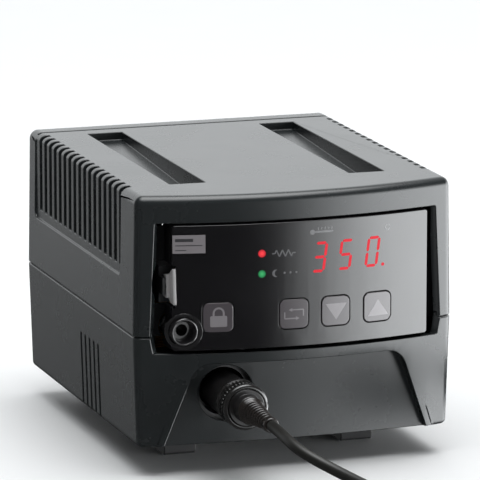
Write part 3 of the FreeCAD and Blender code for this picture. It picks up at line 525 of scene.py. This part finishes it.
def mesh_from(name, build):
    """Mesh made by build(bm), with doubles merged and normals outward."""
    mesh = bpy.data.meshes.new(name)
    bm = bmesh.new()
    build(bm)
    bmesh.ops.remove_doubles(bm, verts=bm.verts, dist=1e-7)
    bmesh.ops.recalc_face_normals(bm, faces=bm.faces)
    bm.to_mesh(mesh)
    bm.free()
    return mesh


def softened(name, node, width):
    """Copy of a frame node with flat faces cleaned up and its sharp edges rounded."""
    mesh = nodes[node].data.copy()
    mesh.name = name
    bm = bmesh.new()
    bm.from_mesh(mesh)
    bmesh.ops.remove_doubles(bm, verts=bm.verts, dist=weld_distance)
    bmesh.ops.dissolve_limit(bm, angle_limit=math.radians(flat_angle), verts=bm.verts, edges=bm.edges)
    for face in bm.faces:
        face.smooth = True
    bm.to_mesh(mesh)
    bm.free()
    piece = bpy.data.objects.new(name, mesh)
    bpy.context.scene.collection.objects.link(piece)
    bevel = piece.modifiers.new("rounded_edges", "BEVEL")
    bevel.width = width
    bevel.segments = 2
    bevel.limit_method = "ANGLE"
    bevel.angle_limit = math.radians(bevel_angle)
    bevel.use_clamp_overlap = False
    bevel.miter_outer = "MITER_ARC"
    even = piece.modifiers.new("even_shading", "WEIGHTED_NORMAL")
    even.weight = 100
    return piece


def dress(piece, material, body, slot, *replaced):
    """Give a softened piece its finish, its body and the node that it stands for."""
    piece.data.materials.clear()
    piece.data.materials.append(material)
    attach(piece, body)
    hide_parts(*replaced)


def bow_y(x, radius):
    """Where the bowed front with that radius stands at x."""
    return bow_centre_y - math.sqrt(radius * radius - x * x)


def raised_shape(bm, outline, lift, sink):
    """Thin closed plate with an (x, z) outline, still flat; y runs from -lift to sink."""
    front = [bm.verts.new((x, -lift, z)) for x, z in outline]
    back = [bm.verts.new((x, sink, z)) for x, z in outline]
    bm.faces.new(front)
    bm.faces.new(reversed(back))
    count = len(outline)
    for i in range(count):
        j = (i + 1) % count
        bm.faces.new((front[j], front[i], back[i], back[j]))


def lay_on_bow(bm, radius):
    """Slice flat plates every millimetre and bend them onto the bowed front."""
    low = min(v.co.x for v in bm.verts)
    high = max(v.co.x for v in bm.verts)
    x = low + MM
    while x < high:
        everything = bm.verts[:] + bm.edges[:] + bm.faces[:]
        bmesh.ops.bisect_plane(bm, geom=everything, plane_co=(x, 0, 0), plane_no=(1, 0, 0))
        x += MM
    for vertex in bm.verts:
        vertex.co.y += bow_y(vertex.co.x, radius)


def stroke(points, width):
    """Outline of a line of that width through (x, z) points, with mitred turns."""
    sides = ([], [])
    for i, point in enumerate(points):
        before = Vector(points[max(i - 1, 0)])
        after = Vector(points[min(i + 1, len(points) - 1)])
        here = Vector(point)
        a = (here - before).normalized() if i > 0 else (after - here).normalized()
        b = (after - here).normalized() if i < len(points) - 1 else a
        normal = Vector((-(a.y + b.y), a.x + b.x)).normalized()
        reach = width / 2 / max(normal.dot(Vector((-a.y, a.x))), 0.4)
        sides[0].append(tuple(here + normal * reach))
        sides[1].append(tuple(here - normal * reach))
    return sides[0] + sides[1][::-1]


def circle_points(cx, cz, radius, low, high, count):
    """Points on an arc, from angle low to angle high in degrees."""
    out = []
    for i in range(count):
        turn = math.radians(low + (high - low) * i / (count - 1))
        out.append((cx + radius * math.cos(turn), cz + radius * math.sin(turn)))
    return out


def disc(cx, cz, radius, count):
    """Points all round a circle."""
    return circle_points(cx, cz, radius, 0, 360 - 360 / count, count)


def printed(name, shapes, material, radius=lens_radius, body="station",
            lift=0.04 * MM, sink=0.25 * MM, replaced=()):
    """Piece made of thin plates laid on the bowed front; shapes are (x, z) outlines."""

    def build(bm):
        for outline in shapes:
            raised_shape(bm, outline, lift, sink)
        lay_on_bow(bm, radius)

    return add_piece(name, mesh_from(name, build), material, body, replaced)


def mm_points(points):
    return [(x * MM, z * MM) for x, z in points]


def closed_line(points, width):
    """Outlines that together draw a closed line of that width."""
    count = len(points)
    return [stroke([points[i], points[(i + 1) % count]], width) for i in range(count)]


def round_box(x0, z0, x1, z1, radius):
    """Outline of a rectangle with round corners."""
    corners = ((x1 - radius, z1 - radius, 0), (x0 + radius, z1 - radius, 90),
               (x0 + radius, z0 + radius, 180), (x1 - radius, z0 + radius, 270))
    points = []
    for cx, cz, angle in corners:
        points += circle_points(cx, cz, radius, angle, angle + 90, 6)
    return points


def segment_outlines(x, z, thick, lit):
    """Outlines of one digit's lit bars, leaning to the right."""
    w = digit_width / 2
    h = digit_height / 2
    t = thick / 2
    gap = 0.35 * t
    lean = math.tan(math.radians(digit_lean))
    across = {"top": h - t, "middle": 0.0, "bottom": -h + t}
    upright = {"upper_left": (-w + t, 1), "upper_right": (w - t, 1),
               "lower_left": (-w + t, -1), "lower_right": (w - t, -1)}
    shapes = []
    for name in lit:
        if name in across:
            dz = across[name]
            a = w - 2 * t - gap
            bar = [(-a, dz - t), (a, dz - t), (a + t, dz), (a, dz + t), (-a, dz + t), (-a - t, dz)]
        else:
            dx, side = upright[name]
            low, high = (t + gap, h - 2 * t - gap)
            if side < 0:
                low, high = (-high, -low)
            bar = [(dx - t, low), (dx, low - t), (dx + t, low), (dx + t, high), (dx, high + t),
                   (dx - t, high)]
        shapes.append([(x + px + pz * lean, z + pz) for px, pz in bar])
    return shapes


# ---------------------------------------------------------------- geometry node trees


def new_tree(name, labels):
    """Empty geometry tree with named inputs, its given sockets and its output node."""
    tree = bpy.data.node_groups.new(name, "GeometryNodeTree")
    add_sockets(tree, "INPUT", ("Geometry", *labels))
    add_sockets(tree, "OUTPUT", ("Geometry",))
    start = tree.nodes.new("NodeGroupInput")
    return tree, start.outputs, tree.nodes.new("NodeGroupOutput")


def finish_tree(tree, given, end, points, shape, scale=(1.0, 1.0, 1.0)):
    """Put a copy of shape on every point, realize the copies and set their material."""
    copies = put_node(tree, "GeometryNodeInstanceOnPoints",
                      {"Points": points.outputs[0], "Instance": shape.outputs[0], "Scale": scale})
    real = put_node(tree, "GeometryNodeRealizeInstances", {0: copies.outputs[0]})
    paint = put_node(tree, "GeometryNodeSetMaterial",
                     {"Geometry": real.outputs[0], "Material": given["Material"]})
    tree.links.new(paint.outputs[0], end.inputs[0])
    return tree


def rib_stack_tree():
    """Round ribs in a row along +Z, from a first radius to a last one."""
    tree, given, end = new_tree(
        "rib_stack", ("Count", "Pitch", "First Radius", "Last Radius", "Rib", "Material"))
    step = put_node(tree, "ShaderNodeCombineXYZ", {"Z": given["Pitch"]})
    line = put_node(tree, "GeometryNodeMeshLine",
                    {"Count": given["Count"], "Offset": step.outputs[0]})
    hoop = put_node(tree, "GeometryNodeCurvePrimitiveCircle",
                    {"Resolution": 40, "Radius": given["First Radius"]})
    section = put_node(tree, "GeometryNodeCurvePrimitiveCircle",
                       {"Resolution": 10, "Radius": given["Rib"]})
    swept = put_node(tree, "GeometryNodeCurveToMesh",
                     {"Curve": hoop.outputs[0], "Profile Curve": section.outputs[0]})
    index = tree.nodes.new("GeometryNodeInputIndex").outputs[0]
    share = maths(tree, "DIVIDE", index, maths(tree, "SUBTRACT", given["Count"], 1.0))
    ratio = maths(tree, "DIVIDE", given["Last Radius"], given["First Radius"])
    size = map_range(tree, share, 0.0, 1.0, 1.0, ratio)
    grow = put_node(tree, "ShaderNodeCombineXYZ", {"X": size, "Y": size, "Z": 1.0})
    return finish_tree(tree, given, end, line, swept, grow.outputs[0])


def rib_ring_tree():
    """Straight ribs, side by side round the Z axis."""
    tree, given, end = new_tree("rib_ring", ("Count", "Radius", "Length", "Rib", "Material"))
    circle = put_node(tree, "GeometryNodeMeshCircle",
                      {"Vertices": given["Count"], "Radius": given["Radius"]})
    bar = put_node(tree, "GeometryNodeMeshCylinder",
                   {"Vertices": 10, "Radius": given["Rib"], "Depth": given["Length"]})
    return finish_tree(tree, given, end, circle, bar)


trees = {}


def grown(maker, values, start, axis):
    """Mesh that a geometry tree makes with these values, stood at start along axis."""
    if maker not in trees:
        trees[maker] = maker()
    tree = trees[maker]
    holder = bpy.data.objects.new("ribs", bpy.data.meshes.new("ribs_base"))
    bpy.context.scene.collection.objects.link(holder)
    modifier = holder.modifiers.new("ribs", "NODES")
    modifier.node_group = tree
    for item in tree.interface.items_tree:
        if item.in_out == "INPUT" and item.name in values:
            modifier[item.identifier] = values[item.name]
    bpy.context.view_layer.update()
    mesh = bpy.data.meshes.new_from_object(holder.evaluated_get(bpy.context.evaluated_depsgraph_get()))
    holder.modifiers.remove(modifier)
    bpy.data.objects.remove(holder)
    turn = Vector((0, 0, 1)).rotation_difference(axis).to_matrix().to_4x4()
    mesh.transform(Matrix.Translation(start) @ turn)
    return mesh


def turned_mesh(name, profile, start, axis, steps, hoop=False):
    """Solid of revolution with flat ends, or a closed hoop; profile holds (distance, radius)."""
    turn = Vector((0, 0, 1)).rotation_difference(axis)
    angles = [2 * math.pi * i / steps for i in range(steps)]

    def build(bm):
        rings = []
        for distance, radius in profile:
            spots = [Vector((radius * math.cos(a), radius * math.sin(a), distance)) for a in angles]
            rings.append([bm.verts.new(start + turn @ spot) for spot in spots])
        following = rings[1:] + rings[:1] if hoop else rings[1:]
        for low, high in zip(rings, following):
            for i in range(steps):
                j = (i + 1) % steps
                bm.faces.new((low[i], low[j], high[j], high[i]))
        if not hoop:
            bm.faces.new(reversed(rings[0]))
            bm.faces.new(rings[-1])

    return mesh_from(name, build)


def with_ribs(mesh, ribs):
    """The mesh with its ribs joined in, smooth on every face with four sides."""
    joined = bmesh.new()
    joined.from_mesh(mesh)
    joined.from_mesh(ribs)
    joined.to_mesh(mesh)
    joined.free()
    for polygon in mesh.polygons:
        polygon.use_smooth = len(polygon.vertices) == 4
    return mesh


def on_plug(y):
    """Point on the plug's line, from its y in millimetres."""
    return Vector((plug_x, y, plug_z)) * MM


# ---------------------------------------------------------------- operators


class STATION_OT_stage(bpy.types.Operator):
    """Add the pale floor, the soft studio lights and the camera"""

    bl_idname = "station.stage"
    bl_label = "Stage"

    def execute(self, context):
        self.add_floor(context)
        self.add_light(context)
        self.set_world(context)
        self.add_camera(context)
        context.scene.view_settings.view_transform = "Standard"
        return {"FINISHED"}

    def add_floor(self, context):
        half = context.scene.station_sizes.floor_size / 2

        def floor_mesh(bm):
            bmesh.ops.create_grid(bm, x_segments=2, y_segments=2, size=half)

        mesh = mesh_from("floor", floor_mesh)
        floor = bpy.data.objects.new("floor", mesh)
        context.scene.collection.objects.link(floor)
        mesh.materials.append(plastic("pale_floor", (0.86, 0.86, 0.86), 0.85, grain=0.0, variation=0.02))
        floor.visible_glossy = False

    def add_light(self, context):
        lamp = bpy.data.lights.new("top_panel", "AREA")
        lamp.shape = "RECTANGLE"
        lamp.size, lamp.size_y = lamp_sides
        lamp.energy = lamp_power
        holder = bpy.data.objects.new("top_panel", lamp)
        context.scene.collection.objects.link(holder)
        self.aim(holder, lamp_place, lamp_target)

    def aim(self, holder, place, target):
        holder.location = place
        holder.rotation_euler = (target - place).to_track_quat("-Z", "Y").to_euler()

    def set_world(self, context):
        """Dark room with the studio's soft panels, plain white where the camera looks past."""
        world = bpy.data.worlds.new("studio")
        context.scene.world = world
        world.use_nodes = True
        tree = world.node_tree
        where = tree.nodes.new("ShaderNodeTexCoord").outputs["Generated"]
        height = put_node(tree, "ShaderNodeSeparateXYZ", {0: where}).outputs["Z"]
        lit = fill_level
        for direction, low, high, power, dark_z, bright_z in studio_panels:
            facing = put_node(tree, "ShaderNodeVectorMath", {0: where, 1: direction},
                              operation="DOT_PRODUCT").outputs["Value"]
            across = map_range(tree, facing, low, high, 0.0, power, "SMOOTHSTEP")
            upright = map_range(tree, height, dark_z, bright_z, 0.0, 1.0, "SMOOTHSTEP")
            lit = maths(tree, "ADD", lit, maths(tree, "MULTIPLY", across, upright))
        seen = tree.nodes.new("ShaderNodeLightPath").outputs["Is Camera Ray"]
        fill(tree, tree.nodes["Background"], {
            "Strength": map_range(tree, seen, 0.0, 1.0, lit, 1.0), "Color": studio_tint})

    def add_camera(self, context):
        lens = bpy.data.cameras.new("camera")
        lens.sensor_width = 36.0
        lens.lens = camera_focal
        lens.clip_end = 20.0
        holder = bpy.data.objects.new("camera", lens)
        context.scene.collection.objects.link(holder)
        self.aim(holder, camera_place, camera_target)
        context.scene.camera = holder


def cord_points():
    """Control points of the whole cord, in millimetres."""
    points = list(cord_route)
    count = round(coil_turns * points_per_turn)
    climb_from = coil_turns / 2 - 0.32
    climb_to = coil_turns / 2 + 0.32
    for i in range(count):
        done = coil_turns * i / count
        radius = coil_radius - coil_pitch * min(done, coil_turns - done)
        share = min(max((done - climb_from) / (climb_to - climb_from), 0.0), 1.0)
        z = coil_low_z + (coil_high_z - coil_low_z) * share * share * (3 - 2 * share)
        angle = 2 * math.pi * done - math.pi / 2
        points.append((coil_centre[0] + radius * math.cos(angle),
                       coil_centre[1] + radius * math.sin(angle), z))
    return points + iron_route


class STATION_OT_cord(bpy.types.Operator):
    """Add the iron's cord with its put-away coil"""

    bl_idname = "station.cord"
    bl_label = "Cord"

    def execute(self, context):
        sizes = context.scene.station_sizes
        look = finishes()
        curve = bpy.data.curves.new("iron_cord_line", "CURVE")
        curve.dimensions = "3D"
        curve.resolution_u = 6
        curve.bevel_depth = sizes.cord_diameter / 2
        curve.bevel_resolution = 5
        curve.use_fill_caps = True
        spots = cord_points()
        spline = curve.splines.new("NURBS")
        spline.points.add(len(spots) - 1)
        for point, spot in zip(spline.points, spots):
            point.co = (*[v * MM for v in spot], 1.0)
        spline.order_u = 3
        spline.use_endpoint_u = True
        curve.materials.append(look["cord"])
        cord = bpy.data.objects.new("iron_cord_line", curve)
        context.scene.collection.objects.link(cord)
        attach(cord, "station")
        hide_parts("iron_cord", "cord_coil", "iron_cord_end")
        return {"FINISHED"}


class STATION_OT_case(bpy.types.Operator):
    """Add both halves of the case, the rear plate and the feet with rounded edges"""

    bl_idname = "station.case"
    bl_label = "Case"

    def execute(self, context):
        look = finishes()
        width = context.scene.station_sizes.edge_round
        for name, node, finish, slot in (
            ("cover_shell", "upper_cover", "case", "cover_grey"),
            ("base_shell", "lower_case", "case", "case_grey"),
            ("rear_plate", "rear_panel", "case", "case_grey"),
            ("foot_blocks", "rubber_feet", "feet", "rubber_dark"),
        ):
            piece = softened(name, node, width)
            dress(piece, look[finish], "station", slot, node)
        return {"FINISHED"}


class STATION_OT_panel(bpy.types.Operator):
    """Add the lens with its label, lit digits, lamps and printed symbols"""

    bl_idname = "station.panel"
    bl_label = "Panel"

    def execute(self, context):
        look = finishes()
        sizes = context.scene.station_sizes
        line = sizes.stroke_width
        lens = softened("lens_face", "display_lens", 0.22 * MM)
        dress(lens, look["lens"], "station", "lens_smoke", "display_lens")

        digits = []
        for x, z, lit in digit_places:
            digits += segment_outlines(x * MM, z * MM, sizes.segment_width, lit)
        digits.append(disc(*point_place, point_radius, 24))
        printed("lit_digits", digits, look["digits"], lift=0.05 * MM,
                replaced=("display_digits",))

        for name, slot in (("heat", "lamp_red"), ("sleep", "lamp_green")):
            outline = disc(lamp_x, lamp_z[name], lamp_radius, 32)
            printed(name + "_window", [outline], look[name + "_window"], lift=0.05 * MM)

        printed("heat_symbol", self.heat_symbol(line), look["legend"])
        printed("sleep_symbol", self.sleep_symbol(), look["legend"])
        printed("temperature_symbol", self.temperature_symbol(line), look["legend"])
        ring = disc(32.4 * MM, 87.5 * MM, 0.9 * MM, 16)
        printed("degree_symbol", closed_line(ring, line * 0.8), look["legend"])

        bars = [mm_points(((-46.4, 87.6), (-40.2, 87.6), (-40.2, 86.5), (-46.4, 86.5))),
                mm_points(((-46.4, 85.3), (-37.0, 85.3), (-37.0, 85.0), (-46.4, 85.0))),
                mm_points(((-46.4, 83.6), (-42.6, 83.6), (-42.6, 83.3), (-46.4, 83.3)))]
        printed("label_bars", bars, look["label_line"], radius=lens_radius + 0.21 * MM,
                lift=0.03 * MM, sink=0.05 * MM)
        return {"FINISHED"}

    def heat_symbol(self, line):
        """Zigzag heating element between two short leads."""
        points = [(-12.0, 81.1), (-10.9, 81.1)]
        for i in range(6):
            points.append((-10.4 + i * 1.1, 82.3 if i % 2 == 0 else 79.9))
        points += [(-4.4, 81.1), (-3.3, 81.1)]
        points = mm_points(points)
        return [stroke([a, b], line) for a, b in zip(points, points[1:])]

    def sleep_symbol(self):
        """Crescent moon and three small dots."""
        z = lamp_z["sleep"]
        outer = circle_points(-10.6 * MM, z, 1.35 * MM, 70, 290, 20)
        inner = circle_points(-9.75 * MM, z, 1.28 * MM, 255, 105, 16)
        shapes = [outer + inner]
        for i in range(3):
            shapes.append(circle_points((-7.4 + i * 2.2) * MM, z, 0.42 * MM, 0, 324, 11))
        return shapes

    def temperature_symbol(self, line):
        """Thermometer lying on its side, with its scale above."""
        shapes = [disc(3.0 * MM, 88.0 * MM, 0.95 * MM, 24),
                  round_box(3.6 * MM, 87.65 * MM, 10.9 * MM, 88.35 * MM, 0.3 * MM)]
        for i in range(5):
            x = (5.2 + i * 1.3) * MM
            shapes.append(stroke([(x, 88.8 * MM), (x, 89.7 * MM)], line * 0.8))
        return shapes


class STATION_OT_key_symbols(bpy.types.Operator):
    """Add the symbols on the four push keys"""

    bl_idname = "station.key_symbols"
    bl_label = "Key symbols"

    def execute(self, context):
        look = finishes()
        line = context.scene.station_sizes.stroke_width
        symbols = {"key_lock": self.padlock(line), "mode_key": self.loop(line),
                   "down_key": [mm_points(((8.0, 61.5), (16.2, 61.5), (12.1, 55.5)))],
                   "up_key": [mm_points(((24.5, 55.6), (32.7, 55.6), (28.6, 61.6)))]}
        for key, shapes in symbols.items():
            printed(key + "_symbol", shapes, look["key_mark"], radius=key_radius, body=key,
                    lift=0.03 * MM, sink=0.1 * MM)
        return {"FINISHED"}

    def padlock(self, line):
        """Body of a padlock and the arch over it."""
        body = round_box(-34.3 * MM, 55.4 * MM, -28.3 * MM, 59.4 * MM, 0.5 * MM)
        arch = [(-33.1 * MM, 59.4 * MM), *circle_points(-31.3 * MM, 60.4 * MM, 1.8 * MM, 180, 0, 12),
                (-29.5 * MM, 59.4 * MM)]
        return [body] + [stroke([a, b], line * 1.5) for a, b in zip(arch, arch[1:])]

    def loop(self, line):
        """Flat loop of two arrows."""
        low = mm_points(((-7.4, 59.6), (-7.4, 57.2), (-3.2, 57.2)))
        high = mm_points(((-0.4, 57.9), (-0.4, 60.3), (-4.6, 60.3)))
        shapes = [stroke([a, b], line) for path in (low, high) for a, b in zip(path, path[1:])]
        shapes.append(mm_points(((-3.2, 56.5), (-1.9, 57.2), (-3.2, 57.9))))
        shapes.append(mm_points(((-4.6, 61.0), (-5.9, 60.3), (-4.6, 59.6))))
        return shapes


class STATION_OT_fittings(bpy.types.Operator):
    """Add the earth socket and its rim, rocker, plug, mains inlet and fuse cap with rounded edges"""

    bl_idname = "station.fittings"
    bl_label = "Fittings"

    def execute(self, context):
        look = finishes()
        for name, node, finish, slot, body, width in (
            ("socket_shell", "earth_jack", "jack", "jack_grey", "station", 0.18),
            ("socket_rim", "jack_bezel", "jack", "jack_grey", "station", 0.15),
            ("rocker_blade", "power_rocker", "rocker", "rocker_grey", "power_rocker", 0.12),
            ("plug_body", "plug_shell", "plug", "plug_black", "station", 0.25),
            ("inlet_body", "mains_inlet", "black", "part_black", "station", 0.3),
            ("fuse_cap", "fuse_holder", "black", "part_black", "station", 0.3),
        ):
            piece = softened(name, node, width * MM)
            dress(piece, look[finish], body, slot, node)
        return {"FINISHED"}


class STATION_OT_strain_reliefs(bpy.types.Operator):
    """Add the ribbed boots at both ends of the cord"""

    bl_idname = "station.strain_reliefs"
    bl_label = "Strain reliefs"

    def execute(self, context):
        count = context.scene.station_sizes.boot_ribs
        self.add_boot("plug_boot", count, on_plug(-94.15), Vector((0, -1, 0)), 23.3 * MM,
                      (5.0 * MM, 4.35 * MM, 2.9 * MM), "cord_boot")
        self.add_boot("iron_relief", count - 2, iron_start + iron_axis * 24.0 * MM, -iron_axis,
                      23.9 * MM, (5.3 * MM, 4.3 * MM, 3.1 * MM), "iron_boot")
        return {"FINISHED"}

    def add_boot(self, name, count, start, axis, length, radii, node):
        """Boot from start along axis; radii are the collar's, the first rib's and the last one's."""
        material = finishes()["boot"]
        base, first, last = radii
        rib = 0.62 * MM
        collar = 2.4 * MM
        tail = 3.4 * MM
        pitch = (length - collar - tail) / count
        core = turned_mesh(name, [
            (0.0, base - 0.4 * MM), (0.35 * MM, base), (1.3 * MM, base), (1.7 * MM, base - 0.5 * MM),
            (collar, first - rib), (length - tail, last - rib), (length - tail + 0.6 * MM, last),
            (length - 0.4 * MM, last - 0.2 * MM), (length, last - 0.5 * MM)], start, axis, 48)
        ribs = grown(rib_stack_tree, {
            "Count": count, "Pitch": pitch, "First Radius": first - rib * 0.9,
            "Last Radius": last - rib * 0.9, "Rib": rib, "Material": material},
            start + axis * (collar + pitch * 0.4), axis)
        add_piece(name, with_ribs(core, ribs), material, "station", (node,))


class STATION_OT_ring(bpy.types.Operator):
    """Add the coupling ring with its grip ribs"""

    bl_idname = "station.ring"
    bl_label = "Coupling ring"

    def execute(self, context):
        material = finishes()["ring"]
        axis = Vector((0, -1, 0))
        start = on_plug(-79.2)
        length = 10.35 * MM
        outer = 8.35 * MM
        grip = outer - 0.5 * MM
        bore = 6.7 * MM
        profile = [(0.0, bore), (0.0, outer - 0.6 * MM), (0.3 * MM, outer - 0.15 * MM),
                   (0.8 * MM, outer), (2.1 * MM, outer), (2.5 * MM, grip), (7.4 * MM, grip),
                   (7.8 * MM, outer), (length - 0.9 * MM, outer),
                   (length - 0.3 * MM, outer - 0.35 * MM), (length, outer - 0.9 * MM),
                   (length, bore)]
        ring = turned_mesh("ring_grip", profile, start, axis, 64, hoop=True)
        ribs = grown(rib_ring_tree, {
            "Count": context.scene.station_sizes.ring_ribs, "Radius": grip, "Length": 4.6 * MM,
            "Rib": 0.36 * MM, "Material": material}, start + axis * 4.95 * MM, axis)
        add_piece("ring_grip", with_ribs(ring, ribs), material, "coupling_ring",
                  ("coupling_ring",))
        return {"FINISHED"}


class STATION_OT_finish_nodes(bpy.types.Operator):
    """Give every frame node its own procedural finish"""

    bl_idname = "station.finish_nodes"
    bl_label = "Finishes"

    def execute(self, context):
        look = finishes()
        for node, finish in node_finish.items():
            mesh = nodes[node].data
            mesh.materials.clear()
            mesh.materials.append(look[finish])
        return {"FINISHED"}


classes = (
    StationSizes,
    StationColours,
    STATION_OT_stage,
    STATION_OT_cord,
    STATION_OT_case,
    STATION_OT_panel,
    STATION_OT_key_symbols,
    STATION_OT_fittings,
    STATION_OT_strain_reliefs,
    STATION_OT_ring,
    STATION_OT_finish_nodes,
)


class STATION_PT_panel(bpy.types.Panel):
    """Lists the station's operators and settings"""

    bl_idname = "STATION_PT_panel"
    bl_label = "Soldering Station"
    bl_space_type = "VIEW_3D"
    bl_region_type = "UI"
    bl_category = "Station"

    def draw(self, context):
        for step in steps:
            self.layout.operator("station." + step)
        for settings in (context.scene.station_sizes, context.scene.station_colours):
            for label in settings.__annotations__:
                self.layout.prop(settings, label)


steps = ("finish_nodes", "stage", "case", "panel", "key_symbols", "fittings", "strain_reliefs",
         "ring", "cord")


def register():
    for kind in (*classes, STATION_PT_panel):
        bpy.utils.register_class(kind)
    bpy.types.Scene.station_sizes = bpy.props.PointerProperty(type=StationSizes)
    bpy.types.Scene.station_colours = bpy.props.PointerProperty(type=StationColours)


def unregister():
    del bpy.types.Scene.station_colours
    del bpy.types.Scene.station_sizes
    for kind in reversed((*classes, STATION_PT_panel)):
        bpy.utils.unregister_class(kind)


def main():
    register()
    for step in steps:
        getattr(bpy.ops.station, step)()
    bpy.context.view_layer.update()


if __name__ == "__main__":
    main()
